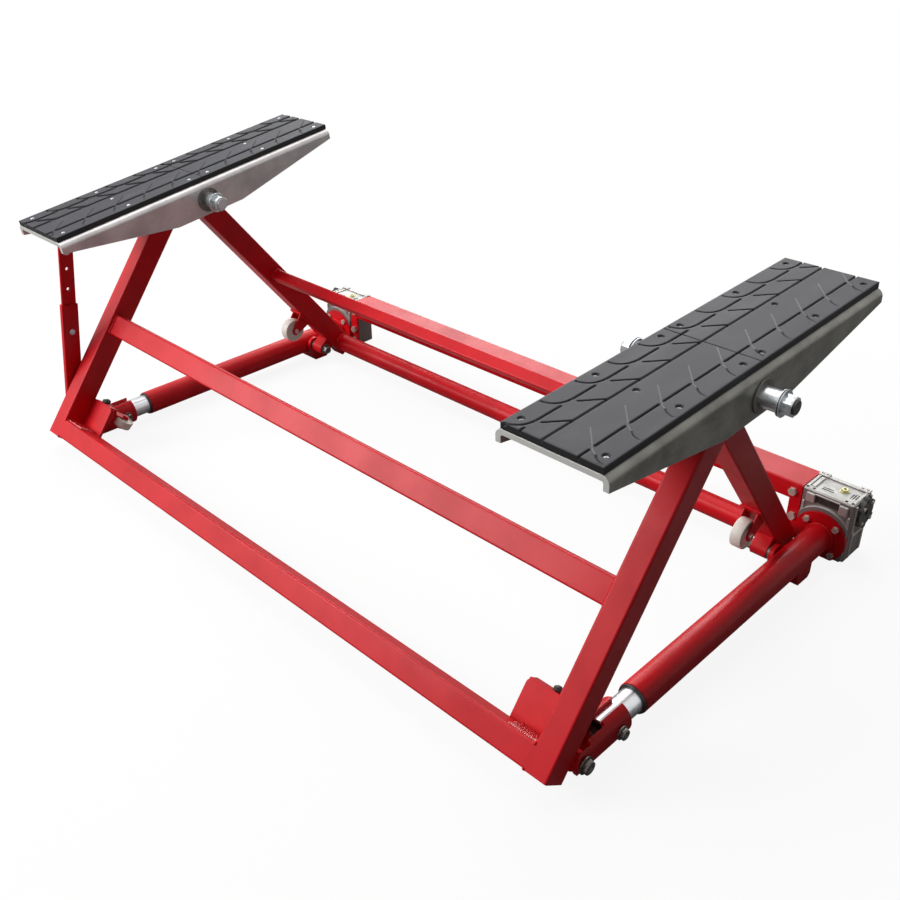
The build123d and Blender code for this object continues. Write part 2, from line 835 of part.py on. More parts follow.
# Box tube over the cross shaft, flush with the gearboxes' tops
gearbox_inner = spindle_x - gearbox_half_width
cover_tube_middle = (
    gearbox_reach + gearbox_depth / 2,
    gearbox_above - cover_tube_height / 2,
)
with BuildPart() as shaft_cover_tube:
    bar(
        spindle_plane(-gearbox_inner),
        cover_tube_middle,
        (gearbox_depth, cover_tube_height),
        cover_tube_wall,
        2 * gearbox_inner,
    )
    for side, sign in sides:
        front = across(spindle_plane(sign * (gearbox_inner - cover_bolt_inset)), gearbox_reach)
        spot = (0, cover_tube_middle[1])
        drill(front, cover_bolt_radius + seat_gap, cover_tube_wall, spot)
        tab_x = start_x(sign, gearbox_inner - tab_width, gearbox_inner)
        slab(
            spindle_plane(tab_x),
            (gearbox_reach, tab_bottom),
            (gearbox_reach + tab_plate, gearbox_above - cover_tube_height + cover_tube_wall),
            tab_width,
        )
        middle = across(spindle_plane(sign * (gearbox_inner - tab_width / 2)), gearbox_reach)
        tab_spots = [(0, height) for height in tab_bolt_heights]
        drill(middle, cover_bolt_radius + seat_gap, tab_plate, spots=tab_spots)
save(shaft_cover_tube, "shaft_cover_tube")

with BuildPart() as drive_unit_bolts:
    for side, sign in sides:
        rear = spindle_plane(sign * spindle_x)
        front = across(rear, gearbox_reach - flange_plate)
        hexagon(front, flange_bolt_flats, -flange_bolt_head, spots=flange_bolt_spots)
        disc(front, flange_bolt_radius, flange_bolt_shank, spots=flange_bolt_spots)
        back = across(rear, gearbox_reach + gearbox_depth + cover_plate)
        hexagon(back, small_bolt_flats, small_bolt_head, spots=rear_spots)
        disc(back, small_bolt_radius, -small_bolt_shank, spots=rear_spots)
        face = spindle_plane(sign * cover_side)
        hexagon(face, small_bolt_flats, sign * small_bolt_head, spots=end_spots)
        disc(face, small_bolt_radius, -sign * small_bolt_shank, spots=end_spots)
        front = across(spindle_plane(sign * (gearbox_inner - cover_bolt_inset)), gearbox_reach)
        spot = (0, cover_tube_middle[1])
        hexagon(front, cover_bolt_flats, -cover_bolt_head, centre=spot)
        disc(front, cover_bolt_radius, cover_bolt_shank, centre=spot)
        middle = across(spindle_plane(sign * (gearbox_inner - tab_width / 2)), gearbox_reach)
        tab_spots = [(0, height) for height in tab_bolt_heights]
        hexagon(middle, cover_bolt_flats, -cover_bolt_head, spots=tab_spots)
        disc(middle, cover_bolt_radius, cover_bolt_shank, spots=tab_spots)
save(drive_unit_bolts, "drive_unit_bolts")

with BuildPart() as gearbox_bearings:
    for side, sign in sides:
        rear = spindle_plane(sign * spindle_x)
        bore = screw_radius + running_gap
        disc(across(rear, gearbox_reach), bearing_radius, gearbox_front_wall, bore)
        disc(across(rear, cavity_back), bearing_radius, gearbox_wall, bore)
        bore = worm_shaft_radius + running_gap
        for low in (spindle_x - gearbox_half_width, spindle_x + gearbox_half_width - gearbox_wall):
            wall = spindle_plane(start_x(sign, low, low + gearbox_wall))
            disc(wall, worm_bearing_radius, gearbox_wall, bore, worm_spot)
save(gearbox_bearings, "gearbox_bearings")

# Worms: socket for the cross shaft at the inner end, keyed input bore at the right outer end
with BuildPart() as worms:
    for side, sign in sides:
        outer = cover_side if sign > 0 else gearbox_side - side_gap
        length = outer - gearbox_inner
        start = start_x(sign, gearbox_inner, outer)
        disc(spindle_plane(start), worm_shaft_radius, length, centre=worm_spot)
        disc(spindle_plane(sign * spindle_x - worm_half), worm_radius, 2 * worm_half, centre=worm_spot)
        socket = start_x(sign, gearbox_inner, gearbox_inner + shaft_socket)
        drill(spindle_plane(socket), shaft_radius + seat_gap, shaft_socket, worm_spot)
    bore_end = spindle_plane(cover_side - input_bore_depth)
    drill(bore_end, input_bore_radius, input_bore_depth, worm_spot)
    slab(
        bore_end,
        (worm_spot[0] - key_width / 2, worm_spot[1]),
        (worm_spot[0] + key_width / 2, worm_spot[1] + input_bore_radius + key_height),
        input_bore_depth,
        Mode.SUBTRACT,
    )
save(worms, "worms")

with BuildPart() as cross_shaft:
    half = gearbox_inner + shaft_socket - side_gap
    disc(spindle_plane(-half), shaft_radius, 2 * half, centre=worm_spot)
save(cross_shaft, "cross_shaft")

# Lead screws with their worm wheels
screw_front = push_rear - stroke - screw_spare
screw_back = gearbox_reach + gearbox_depth - side_gap
for side, sign in sides:
    rear = spindle_plane(sign * spindle_x)
    with BuildPart() as lead_screw:
        disc(across(rear, screw_front), screw_radius, screw_back - screw_front)
    save(lead_screw, f"{side}_lead_screw")

    with BuildPart() as worm_wheel:
        start = across(rear, wheel_station - wheel_width / 2)
        disc(start, wheel_radius, wheel_width, screw_radius + seat_gap)
    save(worm_wheel, f"{side}_worm_wheel")

# Push tubes, lead nuts and clevises
push_start = push_front - base_length
clevis_outer = clevis_inner + clevis_wall
# From here rearwards the folded leg stands clear of the whole clevis
clevis_crest = (clevis_outer - clevis_top) / tan(radians(lowered_angle - lean))
for side, sign in sides:
    x = sign * spindle_x
    rear = spindle_plane(x)
    pin_line = spindle_plane(x - 2 * clevis_outer)
    bolt_spot = (clevis_bolt_station - base_length, 0)
    pivot_spot = (-base_length, 0)
    with BuildPart() as push_tube:
        disc(across(rear, push_start), push_radius, push_rear - push_start, push_radius - push_wall)
        drill(pin_line, clevis_bolt_radius + seat_gap, 4 * clevis_outer, bolt_spot)
    save(push_tube, f"{side}_push_tube")

    with BuildPart() as clevis:
        section = across(rear, -base_length - clevis_nose)
        with BuildSketch(section) as gutter:
            Circle(clevis_outer)
            Circle(clevis_inner, mode=Mode.SUBTRACT)
            with Locations((0, clevis_outer / 2)):
                Rectangle(clevis_slot, clevis_outer, mode=Mode.SUBTRACT)
        extrude(gutter.sketch, amount=clevis_length + clevis_nose, dir=section.z_dir)
        with BuildSketch(pin_line) as profile:
            with Locations(pivot_spot):
                Circle(clevis_nose)
                Polygon(
                    (0, -clevis_nose),
                    (clevis_nose, -clevis_outer),
                    (clevis_length, -clevis_outer),
                    (clevis_length, clevis_outer),
                    (clevis_crest, clevis_outer),
                    (0, clevis_top),
                    align=None,
                )
        extrude(profile.sketch, amount=4 * clevis_outer, dir=pin_line.z_dir, mode=Mode.INTERSECT)
        # Window over the push tube's front end
        slab(
            spindle_plane(x - clevis_window / 2),
            (-base_length, 0),
            (push_start - bush_lip, clevis_outer),
            clevis_window,
            Mode.SUBTRACT,
        )
        # Room for the leg's lug to turn between the cheeks
        pocket = lug_radius + lug_clearance
        slab(
            spindle_plane(x - clevis_inner),
            (-base_length - clevis_nose, -pocket),
            (-base_length + clevis_nose + lug_clearance, clevis_outer),
            2 * clevis_inner,
            Mode.SUBTRACT,
        )
        drill(pin_line, clevis_bolt_radius + seat_gap, 4 * clevis_outer, bolt_spot)
        drill(pin_line, pivot_bolt_radius + seat_gap, 4 * clevis_outer, pivot_spot)
    save(clevis, f"{side}_clevis")


def cross_bolt(sign, spot, radius, flats, head):
    # Bolt across a clevis, head and nut outside its cheeks
    x = sign * spindle_x
    disc(spindle_plane(x - clevis_outer), radius, 2 * clevis_outer, centre=spot)
    hexagon(spindle_plane(x + clevis_outer), flats, head, centre=spot)
    hexagon(spindle_plane(x - clevis_outer - head), flats, head, centre=spot)


with BuildPart() as clevis_bolts:
    for side, sign in sides:
        cross_bolt(sign, bolt_spot, clevis_bolt_radius, clevis_bolt_flats, clevis_bolt_head)
        cross_bolt(sign, pivot_spot, pivot_bolt_radius, pivot_bolt_flats, pivot_bolt_head)
save(clevis_bolts, "clevis_bolts")

with BuildPart() as lead_nuts:
    for side, sign in sides:
        rear = spindle_plane(sign * spindle_x)
        bore = screw_radius + running_gap
        disc(across(rear, push_rear), tube_bore - nut_gap, nut_flange, bore)
        spigot = push_radius - push_wall - seat_gap
        disc(across(rear, push_rear - nut_spigot), spigot, nut_spigot, bore)
save(lead_nuts, "lead_nuts")

# Top pivots
channel_inner = platform_x - channel_width / 2
channel_outer = platform_x + channel_width / 2
stack = (big_washer, sleeve_length, small_washer, apex_nut_height, apex_bolt_tail)
apex_bolt_start = channel_inner - side_gap - sum(stack)
apex_bolt_end = channel_outer + side_gap + sum(stack)
apex_bore = apex_bolt_radius + seat_gap
with BuildPart() as apex_bolts:
    for side, sign in sides:
        at = side_plane(apex, 0, start_x(sign, apex_bolt_start, apex_bolt_end))
        disc(at, apex_bolt_radius, apex_bolt_end - apex_bolt_start)
save(apex_bolts, "apex_bolts")

spacer_spans = (
    (channel_inner + channel_plate, rear_leg_x - leg_width / 2),
    (rear_leg_x + leg_width / 2, front_leg_x - leg_width / 2),
    (front_leg_x + leg_width / 2, channel_outer - channel_plate),
)
sleeve_start = side_gap + big_washer
sleeve_spans = (
    (channel_inner - sleeve_start - sleeve_length, channel_inner - sleeve_start),
    (channel_outer + sleeve_start, channel_outer + sleeve_start + sleeve_length),
)
with BuildPart() as apex_spacers:
    for side, sign in sides:
        for low, high in spacer_spans:
            at = side_plane(apex, 0, start_x(sign, low + side_gap, high - side_gap))
            disc(at, sleeve_radius, high - low - 2 * side_gap, apex_bore)
        for low, high in sleeve_spans:
            at = side_plane(apex, 0, start_x(sign, low, high))
            disc(at, sleeve_radius, high - low, apex_bore)
save(apex_spacers, "apex_spacers")

with BuildPart() as apex_nuts:
    for side, sign in sides:
        for face, way in ((channel_inner, -1), (channel_outer, 1)):
            steps = [side_gap]
            for length in (big_washer, sleeve_length, small_washer, apex_nut_height):
                steps.append(steps[-1] + length)
            at = side_plane(apex, 0, start_x(sign, face + way * steps[0], face + way * steps[1]))
            disc(at, big_washer_radius, big_washer, apex_bore)
            at = side_plane(apex, 0, start_x(sign, face + way * steps[2], face + way * steps[3]))
            disc(at, small_washer_radius, small_washer, apex_bore)
            at = side_plane(apex, 0, start_x(sign, face + way * steps[3], face + way * steps[4]))
            hexagon(at, apex_nut_flats, apex_nut_height, apex_bore)
save(apex_nuts, "apex_nuts")

# Platforms: bent channel with tapered flanges, two rubber pads, countersunk screws
tilts = {"right": right_platform_tilt, "left": left_platform_tilt}
channel_front = channel_shift - channel_length / 2
channel_back = channel_shift + channel_length / 2
pad_length = (channel_length - pad_seam) / 2
pad_starts = (channel_front, channel_front + pad_length + pad_seam)
screw_side = pad_width / 2 - pad_screw_side
pad_screw_spots = [
    (along, across_pad)
    for along in (pad_screw_end, pad_length / 2, pad_length - pad_screw_end)
    for across_pad in (-screw_side, screw_side)
]
pad_screw_spots.append((pad_length / 2, 0))
for side, sign in sides:
    x = sign * platform_x
    middle = side_plane(apex, tilts[side], x)
    screw_places = [
        (start + along, across_pad) for start in pad_starts for along, across_pad in pad_screw_spots
    ]
    with BuildPart() as platform_channel:
        front = across(middle, channel_front)
        with BuildSketch(front) as channel_section:
            with Locations((0, (plate_top + flange_mid_bottom) / 2)):
                Rectangle(channel_width, plate_top - flange_mid_bottom)
            fillet(channel_section.vertices().group_by(Axis.Y)[-1], channel_bend)
            with BuildSketch(mode=Mode.SUBTRACT) as hollow:
                with Locations((0, (plate_top - channel_plate + flange_mid_bottom) / 2)):
                    Rectangle(
                        channel_width - 2 * channel_plate,
                        plate_top - channel_plate - flange_mid_bottom,
                    )
                fillet(hollow.vertices().group_by(Axis.Y)[-1], channel_bend - channel_plate)
        extrude(channel_section.sketch, amount=channel_length, dir=front.z_dir)
        low_side = side_plane(apex, tilts[side], x - channel_width / 2)
        for end, corner in (
            (channel_front, -flange_flat / 2),
            (channel_back, flange_flat / 2),
        ):
            taper = ((end, flange_end_bottom), (corner, flange_mid_bottom), (end, flange_mid_bottom))
            plate(low_side, taper, channel_width, Mode.SUBTRACT)
        drill(low_side, apex_bolt_radius + running_gap, channel_width)
        top = above(middle, 0, plate_top)
        drill(top, pad_screw_shank_radius + seat_gap, -channel_plate, spots=screw_places)
    save(platform_channel, f"{side}_platform_channel")

    with BuildPart() as tread_pads:
        for start in pad_starts:
            front = across(middle, start, plate_top)
            with BuildSketch(front) as pad_section:
                with Locations((0, pad_thickness / 2)):
                    Rectangle(pad_width, pad_thickness)
                chamfer(pad_section.vertices().group_by(Axis.Y)[-1], pad_edge)
                for share in groove_shares:
                    with Locations((pad_width * (0.5 - share), pad_thickness - groove_depth / 2)):
                        Rectangle(groove_width, groove_depth, mode=Mode.SUBTRACT)
            extrude(pad_section.sketch, amount=pad_length, dir=front.z_dir)
        top = above(middle, 0, plate_top + pad_thickness)
        drill(top, pad_screw_head_radius + pad_edge, -pad_screw_recess, spots=screw_places)
        drill(top, pad_screw_shank_radius + seat_gap, -pad_thickness, spots=screw_places)
    save(tread_pads, f"{side}_tread_pads")

    with BuildPart() as pad_screws:
        top = above(middle, 0, plate_top + pad_thickness - pad_screw_recess)
        disc(top, pad_screw_head_radius, pad_screw_head, spots=screw_places)
        shank = pad_thickness - pad_screw_recess + channel_plate
        disc(top, pad_screw_shank_radius, -shank, spots=screw_places)
    save(pad_screws, f"{side}_pad_screws")

# Strut beside the left front leg, aimed at the front of the left platform
strut_x = -(front_leg_x + leg_width / 2 + strut_gap + strut_outer_width / 2)
strut_hinge = front_leg_plane(strut_x).from_local_coords((strut_hinge_station, 0, 0))
strut_target = side_plane(apex, left_platform_tilt, strut_x).from_local_coords((*strut_aim, 0))
strut_angle = degrees(atan2(strut_target.Z - strut_hinge.Z, strut_target.Y - strut_hinge.Y))
strut_point = (strut_hinge.Y, strut_hinge.Z)


def strut_plane(x):
    # Local x runs up the strut from its hinge
    return side_plane(strut_point, strut_angle, x)


strut_near = strut_x + strut_outer_width / 2
strut_far = strut_x - strut_outer_width / 2
strut_inner_width = strut_outer_width - 2 * (strut_outer_wall + strut_inner_gap)
strut_inner_depth = strut_outer_depth - 2 * (strut_outer_wall + strut_inner_gap)
with BuildPart() as strut_outer_tube:
    base = across(strut_plane(strut_x), -strut_foot)
    bar(
        base,
        (0, 0),
        (strut_outer_width, strut_outer_depth),
        strut_outer_wall,
        strut_foot + strut_outer_length,
        strut_corner,
    )
    drill(strut_plane(strut_far), strut_pin_radius + running_gap, strut_outer_width)
    lock_spot = (lock_bolt_station, 0)
    drill(strut_plane(strut_far), lock_bolt_radius + seat_gap, strut_outer_width, lock_spot)
save(strut_outer_tube, "strut_outer_tube")

with BuildPart() as strut_inner_tube:
    base = across(strut_plane(strut_x), strut_inner_bottom)
    bar(
        base,
        (0, 0),
        (strut_inner_width, strut_inner_depth),
        strut_inner_wall,
        strut_inner_top - strut_inner_bottom,
        strut_corner,
    )
    hole_spots = [(station, 0) for station in strut_hole_stations]
    drill(strut_plane(strut_far), strut_hole_radius, strut_outer_width, spots=hole_spots)
    pin_spot = (strut_inner_top - top_pin_inset, 0)
    drill(strut_plane(strut_far), top_pin_radius + seat_gap, strut_outer_width, pin_spot)
save(strut_inner_tube, "strut_inner_tube")

with BuildPart() as strut_hinge_stud:
    leg_side = -(front_leg_x + leg_width / 2)
    disc(strut_plane(strut_near + side_gap), strut_boss_radius, strut_gap - side_gap)
    disc(strut_plane(strut_far - side_gap), strut_pin_radius, leg_side - strut_far + side_gap)
    disc(strut_plane(strut_far - side_gap), strut_boss_radius, -cover_bolt_head)
save(strut_hinge_stud, "strut_hinge_stud")

with BuildPart() as strut_lock_bolt:
    disc(strut_plane(strut_far), lock_bolt_radius, strut_outer_width, centre=lock_spot)
    hexagon(strut_plane(strut_near), flange_bolt_flats, lock_bolt_head, centre=lock_spot)
    hexagon(strut_plane(strut_far), flange_bolt_flats, -flange_bolt_head, centre=lock_spot)
save(strut_lock_bolt, "strut_lock_bolt")

with BuildPart() as strut_top_pin:
    half = strut_inner_width / 2
    disc(strut_plane(strut_x - half), top_pin_radius, strut_inner_width, centre=pin_spot)
    disc(strut_plane(strut_x + half), 2 * top_pin_radius, top_pin_head, centre=pin_spot)
    disc(strut_plane(strut_x - half), 2 * top_pin_radius, -top_pin_head, centre=pin_spot)
save(strut_top_pin, "strut_top_pin")
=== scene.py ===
import json
import math
import bmesh
import bpy
import numpy as np
from mathutils import Matrix, Vector


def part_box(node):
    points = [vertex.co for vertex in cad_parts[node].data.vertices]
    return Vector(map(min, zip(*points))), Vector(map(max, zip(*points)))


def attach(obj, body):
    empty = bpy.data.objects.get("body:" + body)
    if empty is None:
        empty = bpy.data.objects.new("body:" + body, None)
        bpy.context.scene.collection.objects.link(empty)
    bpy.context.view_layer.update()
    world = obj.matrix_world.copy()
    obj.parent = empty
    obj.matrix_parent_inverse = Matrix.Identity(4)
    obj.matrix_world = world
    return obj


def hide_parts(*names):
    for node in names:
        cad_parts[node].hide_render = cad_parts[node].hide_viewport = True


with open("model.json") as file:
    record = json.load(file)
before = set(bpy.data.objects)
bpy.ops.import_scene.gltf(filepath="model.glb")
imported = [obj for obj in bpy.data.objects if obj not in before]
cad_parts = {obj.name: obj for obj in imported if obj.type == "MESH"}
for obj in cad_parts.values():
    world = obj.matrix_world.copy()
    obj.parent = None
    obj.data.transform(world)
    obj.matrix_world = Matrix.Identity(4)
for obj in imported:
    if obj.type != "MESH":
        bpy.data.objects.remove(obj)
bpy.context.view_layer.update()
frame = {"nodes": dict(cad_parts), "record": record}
nodes = frame["nodes"]
record = frame["record"]
joints = {joint["name"]: joint for joint in record["behaviour"]["joints"]}
mounts = {mount["name"]: mount for mount in record["mounts"]}
sides = {"right": 1, "left": -1}
acrossAxis = Vector((1, 0, 0))
scene = bpy.context.scene
scene.view_settings.view_transform = "Standard"
print("frame loaded,", len(nodes), "nodes")


# Node tools: a socket that takes part in sums, and one maker for every other node

class Wire:
    def __init__(self, graph, socket):
        self.graph = graph
        self.socket = socket

    def also(self, output):
        # another output of the same node
        return Wire(self.graph, self.socket.node.outputs[output])

    def math(self, operation, *values):
        return self.graph.make("ShaderNodeMath", dict(enumerate(values)), operation=operation)

    def __add__(self, other):
        return self.math("ADD", self, other)

    def __sub__(self, other):
        return self.math("SUBTRACT", self, other)

    def __rsub__(self, other):
        return self.math("SUBTRACT", other, self)

    def __mul__(self, other):
        return self.math("MULTIPLY", self, other)

    def __abs__(self):
        return self.math("ABSOLUTE", self)

    __radd__ = __add__
    __rmul__ = __mul__

    def least(self, other):
        return self.math("MINIMUM", self, other)

    def most(self, other):
        return self.math("MAXIMUM", self, other)

    def ramp(self, low, high):
        # 0 below low, 1 above high, eased between
        spread = {"Value": self, "From Min": low, "From Max": high}
        return self.graph.make("ShaderNodeMapRange", spread, interpolation_type="SMOOTHSTEP")


class Graph:
    def __init__(self, tree):
        self.tree = tree

    def put(self, socket, value):
        if isinstance(value, list):
            for each in value:
                self.put(socket, each)
        elif isinstance(value, Wire):
            self.tree.links.new(value.socket, socket)
        else:
            socket.default_value = value

    def feed(self, node, sockets):
        for key, value in sockets.items():
            self.put(node.inputs[key], value)

    def make(self, kind, sockets=None, output=0, **settings):
        node = self.tree.nodes.new(kind)
        for name, value in settings.items():
            setattr(node, name, value)
        self.feed(node, sockets or {})
        return Wire(self, node.outputs[output])

    def noise(self, place, scale, detail=3.0, roughness=0.55):
        sockets = {"Vector": place, "Scale": scale, "Detail": detail, "Roughness": roughness}
        return self.make("ShaderNodeTexNoise", sockets)

    def mix(self, factor, first, second):
        return self.make("ShaderNodeMix", {0: factor, 6: first, 7: second}, 2, data_type="RGBA")

    def stretch(self, place, scale):
        return self.make("ShaderNodeVectorMath", {0: place, 1: scale}, operation="MULTIPLY")

    def part(self, vector, axis):
        return self.make("ShaderNodeSeparateXYZ", {"Vector": vector}, axis)

    def facing(self, axis):
        # how far the surface faces along the axis
        return self.part(self.make("ShaderNodeNewGeometry", output="Normal"), axis)

    def rounding(self, radius):
        # the normal, rounded over sharp edges
        return self.make("ShaderNodeBevel", {"Radius": radius}, samples=4)


# Finishes

finishes = {}
white = (1.0, 1.0, 1.0, 1.0)


def colour(red, green, blue):
    # a screen colour, 0 to 255, as Blender's linear one
    parts = []
    for value in (red, green, blue):
        share = value / 255
        parts.append(share / 12.92 if share < 0.04045 else ((share + 0.055) / 1.055) ** 2.4)
    return (*parts, 1.0)


def newFinish(name, fixed):
    material = bpy.data.materials.new(name)
    material.use_nodes = True
    graph = Graph(material.node_tree)
    shader = material.node_tree.nodes["Principled BSDF"]
    graph.feed(shader, fixed)
    finishes[name] = material
    return graph, shader, graph.make("ShaderNodeTexCoord", output="Object")


def bumped(graph, shader, height, look):
    strength, depth = look["bump"]
    sockets = {"Height": height, "Strength": strength, "Distance": depth}
    if "edge" in look:
        sockets["Normal"] = graph.rounding(look["edge"])
    graph.feed(shader, {"Normal": graph.make("ShaderNodeBump", sockets)})


def edgeMask(graph, radius):
    # 1 where a sharp edge is within the radius
    flat = graph.make("ShaderNodeNewGeometry", output="Normal")
    normals = {0: graph.rounding(radius), 1: flat}
    agree = graph.make("ShaderNodeVectorMath", normals, "Value", operation="DOT_PRODUCT")
    return (1.0 - agree).ramp(0.01, 0.12)


redPaintLook = {
    "red": colour(212, 14, 28),
    "deepRed": colour(194, 10, 22),
    "worn": colour(214, 60, 66),
    "roughness": 0.34,
    "specular": 0.2,
    "coat": 0.05,
    "coatRoughness": 0.1,
    "cloudScale": 9.0,
    "cloudSpread": (0.35, 0.7),
    "peelScale": 420.0,
    "bump": (0.35, 0.00012),  # strength and depth
    "rubScale": 60.0,
    "rubSpread": (0.5, 0.75),
    "rubShare": 0.35,
    "edge": 0.0012,
}
weldPaintLook = {**redPaintLook, "roughness": 0.12, "specular": 1.0, "coat": 0.8}


def makeRedPaint(name, look):
    fixed = {"Specular IOR Level": look["specular"], "Coat Roughness": look["coatRoughness"]}
    graph, shader, place = newFinish(name, fixed)
    cloud = graph.noise(place, look["cloudScale"], 4.0).ramp(*look["cloudSpread"])
    peel = graph.noise(place, look["peelScale"], 2.0)
    tone = graph.mix(cloud, look["red"], look["deepRed"])
    rubbed = edgeMask(graph, look["edge"] * 0.8) * graph.noise(place, look["rubScale"], 4.0).ramp(*look["rubSpread"])
    graph.feed(shader, {
        "Base Color": graph.mix(rubbed * look["rubShare"], tone, look["worn"]),
        "Roughness": look["roughness"] + 0.1 * cloud + 0.05 * peel,
        "Coat Weight": look["coat"] * (0.6 + 0.8 * cloud),
    })
    bumped(graph, shader, peel, look)


rubberLook = {
    "top": colour(47, 47, 52),
    # painted shade in grooves, sipes and screw recesses
    "groove": colour(9, 9, 10),
    "scratch": colour(138, 138, 140),
    "scratchShare": 0.6,
    # painted shade: the pad's sides near black, darker than the lit top
    "side": colour(7, 7, 8),
    "sideSpread": (0.3, 0.85),
    "dust": colour(70, 70, 75),
    "dustSpread": (0.5, 0.8),
    "dustShare": 0.35,
    "smearStretch": (1.0, 0.25, 1.0),
    "smearScale": 26.0,
    "roughness": 0.5,
    "specular": 0.35,
    "grainScale": 700.0,
    "bump": (0.25, 0.0004),
}
leftRubberLook = {  # dustier, its grooves in deeper shade
    **rubberLook,
    "top": colour(54, 54, 59),
    "dust": colour(104, 104, 109),
    "groove": colour(5, 5, 6),
}


def makeRubber(name, look):
    graph, shader, place = newFinish(name, {"Specular IOR Level": look["specular"]})
    groove, scratch = (
        graph.make("ShaderNodeAttribute", output="Fac", attribute_name=mark) for mark in ("groove", "scratch")
    )
    grain = graph.noise(place, look["grainScale"], 2.0)
    smear = graph.noise(graph.stretch(place, look["smearStretch"]), look["smearScale"], 4.0, 0.6)
    tone = graph.mix(smear.ramp(*look["dustSpread"]) * look["dustShare"], look["top"], look["dust"])
    # painted shade on faces that don't look up
    tone = graph.mix(graph.facing("Z").ramp(*look["sideSpread"]), look["side"], tone)
    tone = graph.mix(scratch * look["scratchShare"], tone, look["scratch"])
    graph.feed(shader, {
        "Base Color": graph.mix(groove, tone, look["groove"]),
        "Roughness": look["roughness"] + 0.2 * smear + 0.15 * groove,
    })
    bumped(graph, shader, grain + 0.6 * smear, look)


channelLook = {
    "metallic": 0.75,
    "streaks": (30.0, 3.0, 12.0),
    "cloudScale": 13.0,
    "spotScale": 90.0,
    "spotSpread": (0.62, 0.78),
    "stain": colour(64, 58, 52),
    "sheared": colour(226, 226, 222),
    "shearedShare": 0.7,
    "bump": (0.15, 0.0003),
    "edge": 0.0012,
}
# one steel on both sides: the right channel's darker tones are painted shade and the left's paler tones painted
# light; the right's heavier stains are real
channelLooks = {
    "rightChannel": {"light": colour(150, 149, 143), "dark": colour(104, 102, 96), "roughness": 0.42, "stains": 0.5},
    "leftChannel": {"light": colour(206, 203, 202), "dark": colour(172, 168, 168), "roughness": 0.36, "stains": 0.15},
}


def makeChannelSteel(name, look):
    # rolled plate: long faint streaks, cloudy mill scale and brighter sheared edges and ends
    graph, shader, place = newFinish(name, {"Metallic": look["metallic"]})
    streak = graph.noise(graph.stretch(place, look["streaks"]), 1.0, 4.0, 0.65)
    cloud = graph.noise(place, look["cloudScale"], 5.0, 0.62)
    spots = graph.noise(place, look["spotScale"], 3.0, 0.7)
    scale = cloud.ramp(0.32, 0.68) * 0.6 + streak.ramp(0.3, 0.75) * 0.4
    tone = graph.mix(scale, look["dark"], look["light"])
    tone = graph.mix(spots.ramp(*look["spotSpread"]) * look["stains"], tone, look["stain"])
    endwise = abs(graph.facing("Y")).ramp(0.8, 0.95)
    sheared = (edgeMask(graph, look["edge"]) * look["shearedShare"]).most(endwise)
    graph.feed(shader, {
        "Base Color": graph.mix(sheared, tone, look["sheared"]),
        "Roughness": look["roughness"] + 0.14 * cloud - 0.08 * streak,
    })
    bumped(graph, shader, streak + 0.5 * spots, look)


metalLook = {
    "grain": 300.0,
    "edge": 0.0006,
    "bump": (0.4, 0.0001),
    "cloudScale": 45.0,
    "cloudSpread": (0.3, 0.7),
    "edgeShare": 0.5,
    "edgeGain": 1.25,
    "upright": None,  # painted shade: a darker tone for faces that don't look up
    "left": None,  # a tone for the lift's left half, painted light on the long bolt
}
darkSteelLook = {"light": colour(92, 90, 88), "dark": colour(58, 56, 55), "roughness": 0.35, "metallic": 0.9}
castLook = {
    "light": colour(218, 218, 215),
    "dark": colour(192, 191, 188),
    "metallic": 0.4,
    "grain": 520.0,
    "edge": 0.0009,
    "bump": (0.4, 0.0004),
}
metalLooks = {
    "channelWasher": {"light": colour(120, 118, 112), "dark": colour(88, 86, 82), "roughness": 0.42, "metallic": 0.7},
    "zinc": {"light": colour(214, 217, 219), "dark": colour(168, 172, 175), "roughness": 0.2, "metallic": 0.95},
    "brightSteel": {
        "light": colour(226, 228, 230),
        "dark": colour(196, 199, 202),
        "roughness": 0.22,
        "metallic": 0.95,
        "grain": 240.0,
        "edge": 0.0005,
    },
    "darkSteel": darkSteelLook,
    # one bolt in lit and shaded copies: its left end pale as painted light, the rest dark steel as painted shade
    "longBolt": {**darkSteelLook, "left": colour(188, 192, 193)},
    # painted shade: the castings' faces that don't look up take the darker upright tone
    "castAluminium": {**castLook, "roughness": 0.58, "upright": colour(126, 117, 114)},
    "castRib": {**castLook, "roughness": 0.5, "upright": colour(176, 164, 162)},
    "darkCover": {
        "light": colour(74, 71, 70),
        "dark": colour(46, 44, 43),
        "roughness": 0.42,
        "metallic": 0.5,
        "grain": 480.0,
        "edge": 0.0007,
        "bump": (0.4, 0.0003),
    },
    "blackBush": {
        "light": colour(34, 34, 35),
        "dark": colour(18, 18, 19),
        "roughness": 0.4,
        "metallic": 0.0,
        "grain": 500.0,
        "bump": (0.4, 0.0002),
    },
    "bronze": {"light": colour(190, 142, 82), "dark": colour(150, 106, 56), "roughness": 0.3, "metallic": 0.95},
    "brassPlug": {
        "light": colour(224, 219, 172),
        "dark": colour(188, 182, 132),
        "roughness": 0.3,
        "metallic": 0.7,
        "edge": 0.0005,
    },
    "dullZinc": {"light": colour(128, 124, 120), "dark": colour(86, 82, 79), "roughness": 0.32, "metallic": 0.9},
    "flangeZinc": {"light": colour(216, 211, 203), "dark": colour(168, 162, 152), "roughness": 0.3, "metallic": 0.35},
}


